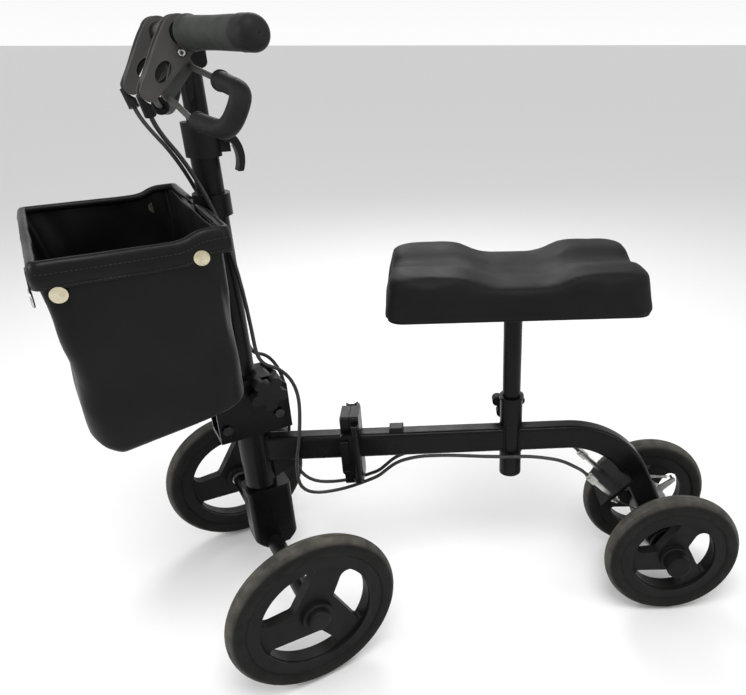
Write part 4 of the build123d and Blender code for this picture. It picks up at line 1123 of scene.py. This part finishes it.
def makeCoilTree():
    t = NodeTree("coilSpring", [("Turns", "Float", 12.0), ("Radius", "Float", 0.0023), ("Height", "Float", 0.03),
                                ("Wire", "Float", 0.0005), ("Material", "Material", None)])
    src = t.source.outputs
    spiral = t.add("GeometryNodeCurveSpiral", {"Resolution": 16, "Rotations": src["Turns"],
                                               "Start Radius": src["Radius"], "End Radius": src["Radius"],
                                               "Height": src["Height"]})
    section = t.add("GeometryNodeCurvePrimitiveCircle", {"Resolution": 8, "Radius": src["Wire"]})
    coil = t.add("GeometryNodeCurveToMesh", {"Curve": spiral.outputs["Curve"],
                                             "Profile Curve": section.outputs["Curve"], "Fill Caps": True})
    real = t.add("GeometryNodeRealizeInstances", {"Geometry": coil.outputs["Mesh"]})
    dressed = t.add("GeometryNodeSetMaterial", {"Geometry": real.outputs["Geometry"], "Material": src["Material"]})
    t.tree.links.new(dressed.outputs["Geometry"], t.end.inputs["Geometry"])
    return t


def makeSprings():
    tree = makeCoilTree()
    low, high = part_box("brake_springs")
    pieces = []
    for side, word in ((1, "left"), (-1, "right")):
        y = side * (high.y - 3.0 * mm)
        start = Vector((low.x + 0.6 * mm, y, low.z + 3.3 * mm))
        end = Vector((high.x - 0.6 * mm, y, high.z - 3.3 * mm))
        way = (end - start).normalized()
        long = (end - start).length - 2 * springSet["end"] * mm
        holder = placed("spring", bpy.data.meshes.new("spring"))
        coil = tree.run(holder, "coil", Turns=float(springSet["turns"]), Radius=springSet["coil"] * mm, Height=long,
                        Wire=springSet["wire"] * mm, Material=zinc)
        spot = way.to_track_quat("Z", "X").to_matrix().to_4x4()
        spot.translation = start + way * springSet["end"] * mm
        coil.transform(spot)
        ends = []
        for place, away in ((start, way), (end, -way)):       # straight hooks at both ends
            ends.append(tubeMesh("hook", [place, place + away * springSet["end"] * mm * 0.5,
                                          place + away * springSet["end"] * mm + Vector((0, 0, 0.0022))],
                                 springSet["wire"] * mm, fine=4, sides=2))
        piece = newPiece(f"brake_spring_{word}", joined("spring", [coil] + ends), zinc, None)
        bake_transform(piece)
        pieces.append(piece)
    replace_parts(pieces[0], "brake_springs")


makeSprings()
print("springs made")


# weld beads
weldSet = {"half": 12.8, "top": 289.4, "under": 250.6, "stand": 0.4,
           "beams": (("weld_sleeve_rear", 237.0, 16.0, -1, "frame"), ("weld_sleeve_front", 237.0, 16.0, 1, "frame"),
                     ("weld_head", 603.0, 22.0, -1, "front_frame"))}


def beamWeld(name, centreX, tubeRadius, sign, body):
    # round the joint of the flat-sided beam and an upright tube, on one side of the tube
    half, top, under = (weldSet[key] for key in ("half", "top", "under"))
    radius = tubeRadius + weldSet["stand"]
    reach = math.degrees(math.asin(half / radius))
    arc = [math.radians(reach * k / 4) for k in range(-4, 5)]
    over = [(centreX + sign * radius * math.cos(a), radius * math.sin(a), top) for a in arc]
    below = [(x, y, under) for x, y, z in reversed(over)]
    edge = centreX + sign * math.sqrt(radius ** 2 - half ** 2)
    left = [(edge, half + 0.2, top - 8), (edge, half + 0.2, under + 8)]
    right = [(edge, -half - 0.2, under + 8), (edge, -half - 0.2, top - 8)]
    route = [at(*place) for place in over + left + below + right]
    beadRow(name, route, 1.5, 3.0, 2.2, 3.0, paint, body, cyclic=True)


def makeWelds():
    for weld in weldSet["beams"]:
        beamWeld(*weld)
    beadRow("weld_column_foot", ringPoints(turned(0, 0, 386.4), (0, 0, 1), 16.4), 1.6, 3.0, 2.2, 3.0, paint, "column",
            cyclic=True)
    beadRow("weld_stem", ringPoints(turned(0, 0, 763.6), (0, 0, 1), 13.1), 1.5, 2.8, 2.1, 2.8, paint, "stem",
            cyclic=True)


makeWelds()
print("welds made")


floorSet = {"reach": 60, "shade": 0.86, "rough": 0.9}         # metres


def makeFloor():
    far = floorSet["reach"]
    mesh = bpy.data.meshes.new("studioFloor")
    mesh.from_pydata([(-far, -far, 0), (far, -far, 0), (far, far, 0), (-far, far, 0)], [], [(0, 1, 2, 3)])
    floor = placed("studioFloor", mesh)
    pale = bpy.data.materials.new("paleFloor")
    pale.use_nodes = True
    shader = pale.node_tree.nodes["Principled BSDF"]
    shader.inputs["Base Color"].default_value = (*[floorSet["shade"]] * 3, 1)
    shader.inputs["Roughness"].default_value = floorSet["rough"]
    mesh.materials.append(pale)


makeFloor()
print("floor laid")
